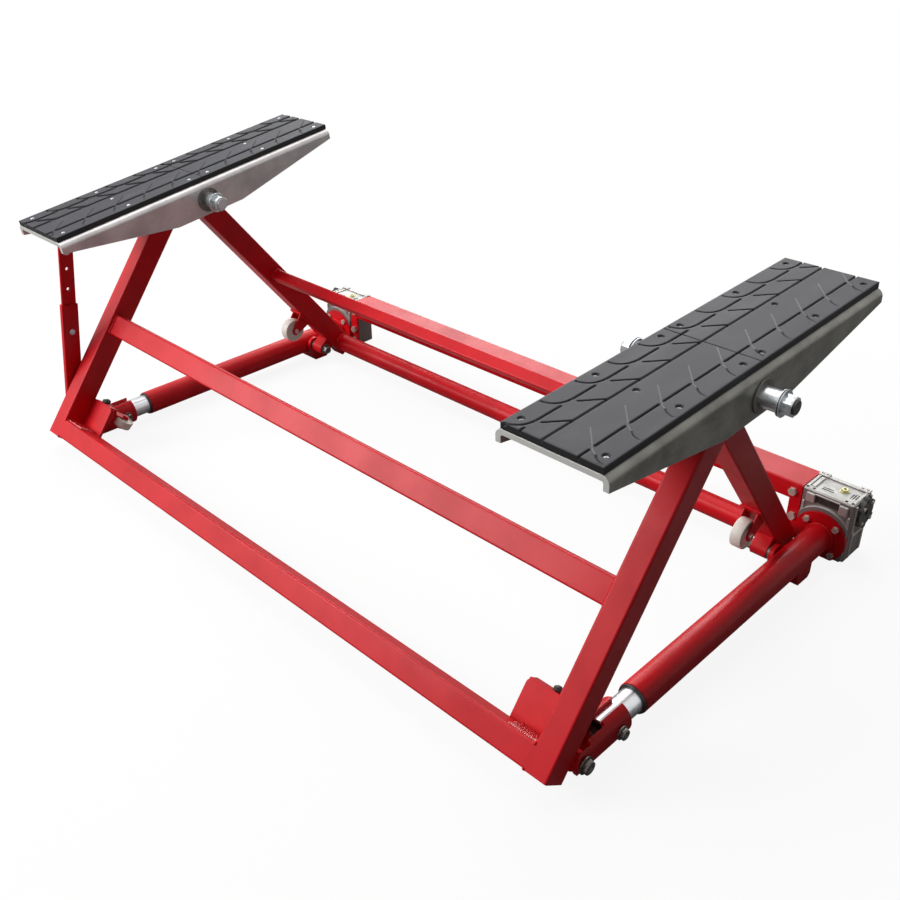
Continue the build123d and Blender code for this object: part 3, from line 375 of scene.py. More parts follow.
def makeMetal(name, look):
    # turned, plated and cast metal: fine grain, cloudy tone and brighter edges, with painted shade on the castings'
    # sides and painted light on the long bolt's left end, where given
    graph, shader, place = newFinish(name, {"Metallic": look["metallic"]})
    fine = graph.noise(place, look["grain"], 3.0, 0.6)
    cloud = graph.noise(place, look["cloudScale"], 4.0, 0.6)
    tone = graph.mix(cloud.ramp(*look["cloudSpread"]), look["dark"], look["light"])
    # painted shade: faces that don't look up are darkened
    if look["upright"]:
        tone = graph.mix(graph.facing("Z").ramp(0.3, 0.9), look["upright"], tone)
    # painted light: the lift's left half takes a paler tone
    if look["left"]:
        tone = graph.mix(graph.part(place, "X").ramp(-0.01, 0.01), look["left"], tone)
    bright = tuple(min(1.0, part * look["edgeGain"]) for part in look["light"][:3]) + (1.0,)
    graph.feed(shader, {
        "Base Color": graph.mix(edgeMask(graph, look["edge"]) * look["edgeShare"], tone, bright),
        "Roughness": look["roughness"] + 0.12 * cloud + 0.08 * fine,
    })
    bumped(graph, shader, fine, look)


nylonLook = {
    "clean": colour(236, 233, 224),
    "aged": colour(214, 205, 186),
    "agedSpread": (0.4, 0.75),
    "agedShare": 0.6,
    "scuffed": colour(150, 140, 128),
    "scuffSpread": (0.62, 0.72),
    "scuffShare": 0.25,
    "cloudScale": 60.0,
    "scuffScale": 420.0,
    "bump": (0.2, 0.0002),
    "roughness": 0.42,
    "ior": 1.5,
    "edge": 0.0006,
}


def makeNylon(look):
    graph, shader, place = newFinish("nylon", {"IOR": look["ior"]})
    cloud = graph.noise(place, look["cloudScale"], 4.0)
    scuff = graph.noise(place, look["scuffScale"], 3.0, 0.7)
    tone = graph.mix(cloud.ramp(*look["agedSpread"]) * look["agedShare"], look["clean"], look["aged"])
    graph.feed(shader, {
        "Base Color": graph.mix(scuff.ramp(*look["scuffSpread"]) * look["scuffShare"], tone, look["scuffed"]),
        "Roughness": look["roughness"] + 0.15 * scuff,
    })
    bumped(graph, shader, scuff, look)


makeRedPaint("redPaint", redPaintLook)
makeRedPaint("weldPaint", weldPaintLook)
makeRubber("rubber", rubberLook)
makeRubber("leftRubber", leftRubberLook)
for name, look in channelLooks.items():
    makeChannelSteel(name, {**channelLook, **look})
for name, look in metalLooks.items():
    makeMetal(name, {**metalLook, **look})
makeNylon(nylonLook)

# a node wears the finish that its slot is named for, unless it is listed here
nodeFinish = {
    "right_platform_channel": "rightChannel",
    "left_platform_channel": "leftChannel",
    "apex_bolts": "longBolt",
    "drive_unit_bolts": "flangeZinc",
}
for subpart in record["subparts"]:
    first, *rest = subpart["material_slot"].split("_")
    slotFinish = first + "".join(word.capitalize() for word in rest)
    for holder in nodes[subpart["node"]].material_slots:
        holder.material = finishes[nodeFinish.get(subpart["node"], slotFinish)]
print("finishes made,", len(finishes))


# Piece tools

meshRules = {"merge": 1e-6, "nodeMerge": 1e-5, "softAngle": math.radians(35)}
hexagon = {"steps": 24, "endShare": 0.49}  # radius of the flat end, in widths over the flats


def addObject(name, data):
    thing = bpy.data.objects.new(name, data)
    scene.collection.objects.link(thing)
    return thing


def addPiece(name, mesh, body, slot, *stoodFor):
    piece = addObject(name, mesh)
    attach(piece, body)
    if stoodFor:
        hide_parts(*stoodFor)


def meshOf(name, shape, finish):
    # a plain mesh from a bmesh, shaded softly where neighbouring faces nearly agree
    bmesh.ops.remove_doubles(shape, verts=shape.verts, dist=meshRules["merge"])
    bmesh.ops.recalc_face_normals(shape, faces=shape.faces)
    for edge in shape.edges:
        edge.smooth = len(edge.link_faces) == 2 and edge.calc_face_angle() < meshRules["softAngle"]
    for face in shape.faces:
        face.smooth = True
    mesh = bpy.data.meshes.new(name)
    shape.to_mesh(mesh)
    shape.free()
    mesh.materials.append(finishes[finish])
    return mesh


def meshFrom(name, points, faces, finish):
    shape = bmesh.new()
    corners = [shape.verts.new(point) for point in points]
    for face in faces:
        shape.faces.new([corners[i] for i in face])
    return meshOf(name, shape, finish)


def blocks(name, boxes, finish):
    # bevelled boxes in one mesh, each of a low corner, a high corner and a bevel, in millimetres
    shape = bmesh.new()
    for low, high, soft in boxes:
        verts = bmesh.ops.create_cube(shape, size=1.0)["verts"]
        for vert in verts:
            vert.co = [(a + (b - a) * (share + 0.5)) / 1000 for a, b, share in zip(low, high, vert.co)]
        edges = list(dict.fromkeys(edge for vert in verts for edge in vert.link_edges))
        bmesh.ops.bevel(shape, geom=edges, offset=soft / 1000, segments=1, affect="EDGES")
    return meshOf(name, shape, finish)


def joined(name, meshes):
    # one mesh from several, each face keeping its finish
    shape = bmesh.new()
    kept = []
    for mesh in meshes:
        start = len(shape.faces)
        shape.from_mesh(mesh)
        shape.faces.ensure_lookup_table()
        if mesh.materials[0] not in kept:
            kept.append(mesh.materials[0])
        for face in shape.faces[start:]:
            face.material_index = kept.index(mesh.materials[0])
    whole = bpy.data.meshes.new(name)
    shape.to_mesh(whole)
    shape.free()
    for material in kept:
        whole.materials.append(material)
    return whole


def spun(profile, turn):
    return [(radius * math.cos(turn), radius * math.sin(turn), height) for radius, height in profile]


def skin(name, rings, closed, finish):
    # faces between equal rings of points that follow each other round Z
    count = len(rings[0])
    faces = []
    for step in range(len(rings)):
        here, there = step * count, (step + 1) % len(rings) * count
        for i in range(count if closed else count - 1):
            j = (i + 1) % count
            faces.append((here + i, there + i, there + j, here + j))
    return meshFrom(name, [point for ring in rings for point in ring], faces, finish)


def lathe(name, profile, steps, finish):
    # profile of (radius, height) turned round Z
    return skin(name, [spun(profile, 2 * math.pi * step / steps) for step in range(steps)], False, finish)


def nutMesh(name, flats, low, high, chamfer, bore, finish):
    # a hexagon with turned corners and a bore
    end = flats * hexagon["endShare"]
    rings = []
    for step in range(hexagon["steps"]):
        turn = 2 * math.pi * step / hexagon["steps"]
        corner = flats / 2 / math.cos((turn + math.pi / 6) % (math.pi / 3) - math.pi / 6)
        outside = [(end, low), (corner, low + chamfer), (corner, high - chamfer), (end, high)]
        rings.append(spun([(bore, low), *outside, (bore, high)], turn))
    return skin(name, rings, True, finish)


def axisMatrix(origin, axis, spin=0.0):
    # local Z along the axis
    turn = Vector(axis).to_track_quat("Z", "Y").to_matrix().to_4x4()
    return Matrix.Translation(origin) @ turn @ Matrix.Rotation(spin, 4, "Z")


def crossMatrix(origin, along, up):
    # X across the lift, Y and Z as given
    return Matrix.Translation(origin) @ Matrix((acrossAxis, along, up)).transposed().to_4x4()


def placed(place, *meshes):
    for mesh in meshes:
        mesh.transform(place)
    return meshes


def pointsOf(nodeName):
    vertices = nodes[nodeName].data.vertices
    points = np.empty(len(vertices) * 3)
    vertices.foreach_get("co", points)
    return points.reshape(-1, 3)


def islands(nodeName):
    # points of the separate solids in a CAD node, from a merged copy
    copy = bmesh.new()
    copy.from_mesh(nodes[nodeName].data)
    bmesh.ops.remove_doubles(copy, verts=copy.verts, dist=meshRules["nodeMerge"])
    found = []
    left = dict.fromkeys(copy.verts)
    while left:
        reach = [left.popitem()[0]]
        solid = []
        while reach:
            vert = reach.pop()
            solid.append(tuple(vert.co))
            for edge in vert.link_edges:
                other = edge.other_vert(vert)
                if other in left:
                    del left[other]
                    reach.append(other)
        found.append(np.array(solid))
    copy.free()
    return sorted(found, key=lambda solid: tuple(solid.mean(axis=0).round(4)))


def newTree(name, inputs):
    tree = bpy.data.node_groups.new(name, "GeometryNodeTree")
    tree.interface.new_socket("Geometry", in_out="INPUT", socket_type="NodeSocketGeometry")
    for label, kind in inputs.items():
        tree.interface.new_socket(label, in_out="INPUT", socket_type="NodeSocket" + kind)
    tree.interface.new_socket("Geometry", in_out="OUTPUT", socket_type="NodeSocketGeometry")
    graph = Graph(tree)
    entry = tree.nodes.new("NodeGroupInput")
    return graph, {socket.name: Wire(graph, socket) for socket in entry.outputs if socket.name}


def endTree(graph, shape, material):
    shape = graph.make("GeometryNodeRealizeInstances", {"Geometry": shape})
    shape = graph.make("GeometryNodeSetMaterial", {"Geometry": shape, "Material": material})
    graph.feed(graph.tree.nodes.new("NodeGroupOutput"), {"Geometry": shape})
    return graph.tree


def runTree(name, tree, carrier, values):
    # the tree's result on the carrier, as a plain mesh
    holder = addObject(name + "Carrier", carrier)
    modifier = holder.modifiers.new("shape", "NODES")
    modifier.node_group = tree
    for item in tree.interface.items_tree:
        if item.in_out == "INPUT" and item.name in values:
            modifier[item.identifier] = values[item.name]
    result = holder.evaluated_get(bpy.context.evaluated_depsgraph_get())
    mesh = bpy.data.meshes.new_from_object(result)
    mesh.name = name
    holder.modifiers.remove(modifier)
    bpy.data.objects.remove(holder)
    return mesh


def pointCloud(name, points):
    mesh = bpy.data.meshes.new(name)
    mesh.from_pydata([tuple(point) for point in points], [], [])
    return mesh


def pathCurve(name, paths):
    curve = bpy.data.curves.new(name, "CURVE")
    curve.dimensions = "3D"
    for path, closed in paths:
        line = curve.splines.new("POLY")
        line.points.add(len(path) - 1)
        for point, place in zip(line.points, path):
            point.co = (*place, 1.0)
        line.use_cyclic_u = closed
    return curve


# Tread pads: rubber cut from a tyre, grooves drawn as curves that repeat along the pad

padSizes = {
    "width": 0.180,
    "length": 0.3895,
    "thickness": 0.012,
    "seam": 0.001,
    "pitch": 0.0793,
    "cell": 0.00105,
    "grooveWidth": {"right": 0.0042, "left": 0.0105},
    "grooveDepth": 0.0052,
    "grooveWall": (0.55, 1.1),  # from the floor's edge to the top's, in half widths
    "sipeWidth": {"right": 0.0021, "left": 0.0056},
    "sipeDepth": 0.0022,
    "scarWidth": {"right": 0.0017, "left": 0.0052},
    "scarShade": {"right": 0.0, "left": 0.8},  # 0 pale, 1 dark as painted groove shade
    "fineWall": (0.3, 0.55),  # of sipes and scars, in widths
    "recessRadius": 0.0056,
    "recessDepth": {"right": 0.0058, "left": 0.0029},
    "recessWall": (0.88, 1.02),  # in radii
    "edgeDrop": 0.0009,
    "edgeReach": (-0.0005, 0.002),  # in from the border, where the top falls off
    "waviness": 0.0005,
    "waveScale": 14.0,
    "phases": {"right": (0.001, 0.010), "left": (-0.010, -0.007)},  # first hook after each pad's front end
    "finish": {"right": "rubber", "left": "leftRubber"},
}
# one pitch of the tread, millimetres from the pad's left edge and from the pitch's start
tread = {
    "hook": ((6.5, 0.0), (36.0, 3.0), (36.2, 40.0)),
    "hookTail": ((36.2, 40.0), (36.6, 87.0)),
    "slant": ((46.0, 34.5), (74.0, 66.0)),
    "dash": ((138.5, 34.0), (138.5, 101.0)),
    "sipe": ((153.5, 16.5), (161.0, 6.5), (174.0, 5.0)),
    "scar": ((104.0, 68.0), (120.0, 50.0), (137.0, 30.0)),
    "scarTail": ((139.0, 27.0), (145.0, 21.0), (153.5, 16.5)),
}
mainGroove = {"across": 0.075, "reach": 0.6}  # half its run, in pad lengths


# the tree's inputs, named as in padSizes: the same for all pads, and of one side
padInputs = ("width", "length", "thickness", "pitch", "grooveDepth")
sideInputs = ("grooveWidth", "sipeWidth", "scarWidth", "scarShade", "recessDepth")


def padTree(sizes):
    kinds = dict.fromkeys((*padInputs, *sideInputs, "phase"), "Float")
    graph, given = newTree("treadPad", {**kinds, "rubber": "Material"})
    width, length, thickness = given["width"], given["length"], given["thickness"]

    def stroke(name):
        # a line through two places or a bend over three
        places = [(x / 1000, y / 1000, 0.0) for x, y in tread[name]]
        if len(places) == 2:
            return graph.make("GeometryNodeCurvePrimitiveLine", dict(zip(("Start", "End"), places)))
        sockets = {**dict(zip(("Start", "Middle", "End"), places)), "Resolution": 16}
        return graph.make("GeometryNodeCurveQuadraticBezier", sockets)

    def vector(x, y, z):
        return graph.make("ShaderNodeCombineXYZ", {"X": x, "Y": y, "Z": z})

    def repeated(*strokes):
        # the strokes once per pitch, from one pitch ahead of the pad
        one = graph.make("GeometryNodeJoinGeometry", {"Geometry": [stroke(name) for name in strokes]})
        count = int(sizes["length"] / sizes["pitch"]) + 3
        start = vector(width * -0.5, length * -0.5 + given["phase"] - given["pitch"], thickness)
        row = {"Count": count, "Start Location": start, "Offset": vector(0.0, given["pitch"], 0.0)}
        points = graph.make("GeometryNodeMeshLine", row)
        many = graph.make("GeometryNodeInstanceOnPoints", {"Points": points, "Instance": one})
        return graph.make("GeometryNodeRealizeInstances", {"Geometry": many})

    def distance(target, kind):
        return graph.make("GeometryNodeProximity", {0: target}, "Distance", target_element=kind)

    def cut(target, kind, size, wall):
        # 1 on the floor of a cut along the target, 0 past its wall
        return 1.0 - distance(target, kind).ramp(size * wall[0], size * wall[1])

    def wires(curves):
        return graph.make("GeometryNodeCurveToMesh", {"Curve": curves})

    deepCurves = repeated("hook", "hookTail", "slant", "dash")
    middle = width * -0.5 + mainGroove["across"]
    ends = [vector(middle, length * (way * mainGroove["reach"]), thickness) for way in (-1, 1)]
    main = graph.make("GeometryNodeCurvePrimitiveLine", dict(zip(("Start", "End"), ends)))
    deepCurves = graph.make("GeometryNodeJoinGeometry", {"Geometry": [deepCurves, main]})
    screwPoints = graph.make("GeometryNodeMeshToPoints", {"Mesh": given["Geometry"]})
    deep = cut(wires(deepCurves), "EDGES", given["grooveWidth"] * 0.5, sizes["grooveWall"])
    fine = cut(wires(repeated("sipe")), "EDGES", given["sipeWidth"], sizes["fineWall"])
    scar = cut(wires(repeated("scar", "scarTail")), "EDGES", given["scarWidth"], sizes["fineWall"])
    recess = cut(screwPoints, "POINTS", sizes["recessRadius"], sizes["recessWall"])

    across = int(sizes["width"] / sizes["cell"])
    along = int(sizes["length"] / sizes["cell"])
    cells = {"Size X": width, "Size Y": length, "Vertices X": across + 1, "Vertices Y": along + 1}
    sheet = graph.make("GeometryNodeMeshGrid", cells)
    raised = {"Mesh": sheet, "Offset Scale": thickness, "Individual": False}
    block = graph.make("GeometryNodeExtrudeMesh", raised, mode="FACES")
    top = block.also("Top")
    place = graph.make("GeometryNodeInputPosition")
    border = (width * 0.5 - abs(graph.part(place, "X"))).least(length * 0.5 - abs(graph.part(place, "Y")))
    rounded = 1.0 - border.ramp(*sizes["edgeReach"])
    wave = graph.noise(place, sizes["waveScale"], 2.0)
    drop = (deep * given["grooveDepth"]).most(fine * sizes["sipeDepth"]).most(recess * given["recessDepth"])
    drop = drop + rounded * sizes["edgeDrop"] + wave * sizes["waviness"]
    moved = {"Geometry": block, "Selection": top, "Offset": vector(0.0, 0.0, drop * -1.0)}
    shape = graph.make("GeometryNodeSetPosition", moved)
    # painted shade: grooves, sipes, screw recesses and, where scarShade is set, the scars are darkened
    dark = deep.most(fine).most(recess).most(scar * given["scarShade"])
    for name, value in (("groove", dark), ("scratch", scar * (1.0 - given["scarShade"]))):
        stored = {"Geometry": shape, "Selection": top, "Name": name, "Value": value}
        shape = graph.make("GeometryNodeStoreNamedAttribute", stored, data_type="FLOAT", domain="POINT")
    shape = graph.make("GeometryNodeSetShadeSmooth", {"Geometry": shape, "Selection": top})
    return endTree(graph, shape, given["rubber"])


def padMatrix(side):
    # the platform's pad face: Y along it, Z out of it, origin at the middle of the pads' underside
    low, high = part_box(side + "_tread_pads")
    normal = Vector(mounts[side + "_pad_top"]["axis"]).normalized()
    onFace = Vector(mounts[side + "_pad_top"]["pos_m"])
    middle = (low + high) / 2
    middle = middle - normal * (middle - onFace).dot(normal) - normal * padSizes["thickness"]
    return crossMatrix(middle, normal.cross(acrossAxis), normal)


def closeUnder(mesh):
    shell = bmesh.new()
    shell.from_mesh(mesh)
    rim = [edge for edge in shell.edges if len(edge.link_faces) == 1]
    bmesh.ops.holes_fill(shell, edges=rim, sides=0)
    bmesh.ops.recalc_face_normals(shell, faces=shell.faces)
    shell.to_mesh(mesh)
    shell.free()


padScrew = {
    "headRadius": 0.0042,
    "head": 0.0025,
    "topShare": 0.82,  # of the head's radius
    "rimShare": 0.6,  # of the head's height
    "shankRadius": 0.003,
    "socket": 0.0016,
    "socketDepth": 0.0014,
    "grip": 0.010,  # through the channel's plate
    "steps": 12,
}


def screwMesh(sizes, depth):
    # a socket screw, its shank down through the channel's plate
    floor = sizes["head"] - sizes["socketDepth"]
    profile = [
        (0.0, floor),
        (sizes["socket"], floor),
        (sizes["socket"], sizes["head"]),
        (sizes["headRadius"] * sizes["topShare"], sizes["head"]),
        (sizes["headRadius"], sizes["head"] * sizes["rimShare"]),
        (sizes["headRadius"], 0.0),
        (sizes["shankRadius"], 0.0),
        (sizes["shankRadius"], -depth),
        (0.0, -depth),
    ]
    return lathe("padScrew", profile, sizes["steps"], "zinc")


def screwTree():
    # one mesh object on every carrier point
    graph, given = newTree("padScrews", {"shape": "Object", "finish": "Material"})
    shape = graph.make("GeometryNodeObjectInfo", {"Object": given["shape"]}, "Geometry")
    sockets = {"Points": given["Geometry"], "Instance": shape}
    return endTree(graph, graph.make("GeometryNodeInstanceOnPoints", sockets), given["finish"])


def makePads(sizes):
    padMaker = padTree(sizes)
    screwMaker = screwTree()
    for side in sides:
        seat = sizes["recessDepth"][side]
        depth = sizes["thickness"] - seat + padScrew["grip"]
        screw = bpy.data.objects.new("padScrewShape", screwMesh(padScrew, depth))
        place = padMatrix(side)
        back = place.inverted()
        screws = []
        for solid in islands(side + "_pad_screws"):
            local = [back @ Vector(point) for point in solid]
            x = sum(point.x for point in local) / len(local)
            y = sum(point.y for point in local) / len(local)
            screws.append(Vector((x, y, sizes["thickness"])))
        body = side + "_platform"
        for end, phase in zip((-1, 1), sizes["phases"][side]):
            shift = end * (sizes["length"] + sizes["seam"]) / 2
            near = [spot - Vector((0, shift, 0)) for spot in screws if spot.y * end > 0]
            name = side + ("FrontPad" if end < 0 else "RearPad")
            values = {key: sizes[key] for key in padInputs}
            values.update({key: sizes[key][side] for key in sideInputs})
            values.update({"phase": phase, "rubber": finishes[sizes["finish"][side]]})
            mesh = runTree(name, padMaker, pointCloud(name + "Points", near), values)
            closeUnder(mesh)
            mesh.transform(place @ Matrix.Translation((0, shift, 0)))
            addPiece(name, mesh, body, "rubber", side + "_tread_pads")
        cloud = pointCloud(side + "ScrewPoints", [spot - Vector((0, 0, seat)) for spot in screws])
        mesh = runTree(side + "PadScrews", screwMaker, cloud, {"shape": screw, "finish": finishes["zinc"]})
        mesh.transform(place)
        addPiece(side + "PadScrews", mesh, body, "zinc", side + "_pad_screws")
        print(side, "pads cut,", len(screws), "screws")


makePads(padSizes)


# Weld beads: overlapping ripples along the joint between two steel pieces

weldSizes = {
    "radius": 0.0034,
    "pitch": 0.0026,
    "seed": 7,
    "spread": (0.85, 1.15),  # of the ripples' sizes
    "ripple": {"Segments": 8, "Rings": 5},
    "sunk": 0.3,  # into the leg's face, in radii
    "groundFace": -0.0265,  # no bead in front of this, from the leg's centreline
}
crossbars = {
    "front_frame": ("front_bottom_crossbar", "front_mid_crossbar"),
    "rear_frame": ("rear_upper_crossbar", "rear_round_tube"),
}
flangeWeld = {"tubeRadius": 0.030, "reach": 0.1175, "steps": 36}  # reach behind the rear pivot, along the spindle


def weldTree(sizes):
    graph, given = newTree("weldBead", {"radius": "Float", "pitch": "Float", "seed": "Int", "paint": "Material"})
    along = {"Curve": given["Geometry"], "Length": given["pitch"]}
    points = graph.make("GeometryNodeCurveToPoints", along, mode="LENGTH")
    ripple = graph.make("GeometryNodeMeshUVSphere", {**sizes["ripple"], "Radius": given["radius"]})
    low, high = sizes["spread"]
    draw = {2: low, 3: high, "Seed": given["seed"]}
    size = graph.make("FunctionNodeRandomValue", draw, 1, data_type="FLOAT")
    sockets = {"Points": points, "Instance": ripple, "Rotation": points.also("Rotation"), "Scale": size}
    shape = graph.make("GeometryNodeInstanceOnPoints", sockets)
    shape = graph.make("GeometryNodeRealizeInstances", {"Geometry": shape})
    shape = graph.make("GeometryNodeSetShadeSmooth", {"Geometry": shape})
    return endTree(graph, shape, given["paint"])


beadMaker = weldTree(weldSizes)


def addBeads(name, paths, sizes, finish, body):
    values = {key: sizes[key] for key in ("radius", "pitch", "seed")}
    values["paint"] = finishes[finish]
    addPiece(name, runTree(name, beadMaker, pathCurve(name + "Paths", paths), values), body, "red_paint")
    print(name, len(paths), "beads")


def hull(points):
    # convex outline of flat points, in order
    ordered = sorted(set(points))

    def half(run):
        kept = []
        for point in run:
            while len(kept) > 1:
                a, b = kept[-2], kept[-1]
                if (b[0] - a[0]) * (point[1] - a[1]) - (b[1] - a[1]) * (point[0] - a[0]) > 1e-12:
                    break
                kept.pop()
            kept.append(point)
        return kept[:-1]

    return half(ordered) + half(ordered[::-1])


def endLoop(nodeName, end, sizes):
    # outline of a crossbar's end face, where it meets the leg
    points = pointsOf(nodeName)
    face = points[:, 0].max() if end > 0 else points[:, 0].min()
    flat = points[abs(points[:, 0] - face) < 1e-4]
    outline = hull([(round(float(y), 5), round(float(z), 5)) for _, y, z in flat])
    return [(face - end * sizes["radius"] * sizes["sunk"], y, z) for y, z in outline]


def frontLegMatrix():
    # Y from the leg's front to its rear, Z up along the leg from its end at the top pivot
    swing = Vector(joints["right_front_swing"]["axis"])
    return crossMatrix(joints["apex_fold"]["pos_m"], swing, acrossAxis.cross(swing))


def openFront(loop, depth):
    # the loop without its run on the front face, which is ground flush
    back = frontLegMatrix().inverted()
    kept = [(back @ Vector(point)).y > depth for point in loop]
    first = next(i for i in range(len(loop)) if kept[i] and not kept[i - 1])
    order = [(first + i) % len(loop) for i in range(len(loop))]
    return [loop[i] for i in order if kept[i]]


def makeWelds(sizes):
    paths = {}
    for body, bars in crossbars.items():
        paths[body] = [(endLoop(bar, end, sizes), True) for bar in bars for end in (-1, 1)]
    for i in range(2):  # the bottom crossbar's two ends
        paths["front_frame"][i] = openFront(paths["front_frame"][i][0], sizes["groundFace"]), False
    paths["drive_unit"] = []
    circle = [2 * math.pi * step / flangeWeld["steps"] for step in range(flangeWeld["steps"])]
    for side, sign in sides.items():
        screw = joints[side + "_screw_turn"]
        axis = Vector(screw["axis"])
        centre = Vector((sign * abs(screw["pos_m"][0]), *joints["fold"]["pos_m"][1:]))
        place = axisMatrix(centre + axis * flangeWeld["reach"], axis)
        ring = [tuple(place @ Vector(spun([(flangeWeld["tubeRadius"], 0)], turn)[0])) for turn in circle]
        paths["drive_unit"].append((ring, True))
    for body, group in paths.items():
        addBeads(body.split("_")[0] + "Welds", group, sizes, "redPaint", body)


makeWelds(weldSizes)


# Bottom corners: weld metal over the bar's top beside each bracket, and the leg's rounded corner filled

cornerWeld = {
    "end": 767.0,  # the legs' inner faces
    "overlap": 0.6,
    "barEdges": (-639.4, -685.4),
    "legFace": 27.5,
    "fill": 4.2,
    "fillBehind": 2.0,
    "fillInset": 1.5,
    "bevel": 0.25,
    "rows": (-18.0, 19.0, 11),  # first and last row behind the leg's centreline, and their count
    "run": (706.0, 765.0),
    "lift": 0.4,
    "radius": 0.0029,
    "pitch": 0.0041,
    "seed": 11,
}


def makeCorners(sizes):
    place = frontLegMatrix()
    top, bottom = sizes["barEdges"]
    front, inset = -sizes["legFace"], sizes["fillInset"]
    rear = front + sizes["fill"] + sizes["fillBehind"]
    fills = []
    rows = []
    for sign in sides.values():
        near, far = sorted((sign * (sizes["end"] - sizes["overlap"]), sign * (sizes["end"] + sizes["fill"])))
        fills.append(((near, front, bottom + inset), (far, rear, top - inset), sizes["bevel"]))
        for row in np.linspace(*sizes["rows"]):
            ends = [(sign * x / 1000, row / 1000, (top + sizes["lift"]) / 1000) for x in sizes["run"]]
            rows.append(([tuple(place @ Vector(end)) for end in ends], False))
    mesh = blocks("cornerFills", fills, "redPaint")
    mesh.transform(place)
    addPiece("cornerFills", mesh, "front_frame", "red_paint")
    addBeads("cornerWelds", rows, sizes, "weldPaint", "front_frame")


makeCorners(cornerWeld)


# Bracket covers: a plate over each caster housing with two nuts on it, black nuts and dark studs as painted shade of
# the bracket's inside

bracketCover = {
    # across and depth of each corner, stepped to clear the wheel as it swings and the clevis as the lift folds
    "outline": ((684.0, 21.0), (753.0, 21.0), (753.0, 56.0), (728.0, 56.0), (728.0, 42.5), (684.0, 42.5)),
    "heights": (-567.9, -564.7),
    "nuts": ((732.8, 33.0), (745.2, 46.4)),
    "flats": 0.015,
    "tall": 0.008,
    "chamfer": 0.0012,
    "bore": 0.0045,
    "studOut": 0.002,
    "steps": 12,
}


def makeBracketCovers(cover):
    place = frontLegMatrix()
    high = cover["heights"][1]
    count = len(cover["outline"])
    walls = [(i, (i + 1) % count, count + (i + 1) % count, count + i) for i in range(count)]
    faces = [tuple(range(count)), tuple(range(count, 2 * count)), *walls]
    bore, end = cover["bore"], cover["tall"] + cover["studOut"]
    plates = []
    nuts = []
    for sign in sides.values():
        points = [(sign * x / 1000, y / 1000, z / 1000) for z in cover["heights"] for x, y in cover["outline"]]
        plates.append(meshFrom("cover", points, faces, "redPaint"))
        for x, depth in cover["nuts"]:
            # painted shade: the nuts are black and the studs dark for the shade inside the open bracket
            nut = nutMesh("nut", cover["flats"], 0.0, cover["tall"], cover["chamfer"], bore, "blackBush")
            stud = lathe("stud", [(0.0, end), (bore, end), (bore, 0.0)], cover["steps"], "darkSteel")
            spot = Matrix.Translation((sign * x / 1000, depth / 1000, high / 1000))
            nuts += placed(place @ spot, nut, stud)
    mesh = joined("bracketCovers", plates)
    mesh.transform(place)
    addPiece("bracketCovers", mesh, "front_frame", "red_paint")
    addPiece("bracketNuts", joined("bracketNuts", nuts), "front_frame", "dark_steel")
    print("bracket covers set")


makeBracketCovers(bracketCover)


# Cross bolts: chamfered heads with washers, in place of the plain hexagons

crossBolt = {
    "headShare": {"clevis_bolts": 0.8, "rear_pivot_studs": 0.66},  # of the plain hexagon's width
    "washer": 0.002,
    "rim": 0.7,
    "hole": 0.9,  # in shank radii
    "chamfer": 0.0014,
    "core": 0.62,
    "sunk": 0.0015,
    "cornerFrom": 0.98,  # points past this share of the greatest radius are a hexagon's corners
    "collar": (1.1, 0.9),  # points between these shares of the shank's and the corners' radii are a collar
    "steps": (24, 12),
}


def boltHead(flats, shank, tall, bolt):
    # washer, hexagon and the shank's end inside it, standing on Z 0
    hole, inner = shank * bolt["hole"], shank * bolt["core"]
    thick = bolt["washer"]
    rim = flats * bolt["rim"]
    many, few = bolt["steps"]
    ring = [(hole, 0.0), (rim, 0.0), (rim, thick), (hole, thick)]
    end = [(0.0, tall - bolt["sunk"]), (inner, tall - bolt["sunk"]), (inner, thick)]
    head = nutMesh("head", flats, thick, tall, bolt["chamfer"], inner, "dullZinc")
    return [lathe("washer", ring, many, "dullZinc"), head, lathe("end", end, few, "dullZinc")]


def makeCrossBolts(node, body, name, bolt):
    meshes = []
    for solid in islands(node):
        middle = (solid.min(axis=0) + solid.max(axis=0)) / 2
        reach = np.linalg.norm(solid[:, 1:] - middle[1:], axis=1)
        shank = float(reach.min())
        corner = float(reach.max())
        flats = corner * math.sqrt(3) * bolt["headShare"][node]
        steps = sorted({round(float(x), 5) for x in solid[reach > corner * bolt["cornerFrom"], 0]})
        start, end = float(solid[:, 0].min()), float(solid[:, 0].max())
        for near, far in zip(steps[::2], steps[1::2]):
            way = 1 if (near + far) / 2 > middle[0] else -1
            foot = near if way > 0 else far
            place = axisMatrix(Vector((foot, *middle[1:])), (way, 0, 0), math.pi / 6)
            meshes += placed(place, *boltHead(flats, shank, far - near, bolt))
            start, end = (start, foot) if way > 0 else (foot, end)
        rounds = [(start, end, shank)]
        between = (reach > shank * bolt["collar"][0]) & (reach < corner * bolt["collar"][1])
        if between.any():
            along = solid[between, 0]
            rounds.append((float(along.min()), float(along.max()), float(reach[between].max())))
        for near, far, radius in rounds:
            loop = [(0.0, far - near), (radius, far - near), (radius, 0.0), (0.0, 0.0)]
            pin = lathe("pin", loop, bolt["steps"][0], "dullZinc")
            meshes += placed(axisMatrix(Vector((near, *middle[1:])), acrossAxis), pin)
    addPiece(name, joined(name, meshes), body, "zinc", node)
    print(name, len(meshes), "pieces turned")


makeCrossBolts("clevis_bolts", "push_tubes", "clevisBolts", crossBolt)
makeCrossBolts("rear_pivot_studs", "drive_unit", "rearPivotStuds", crossBolt)
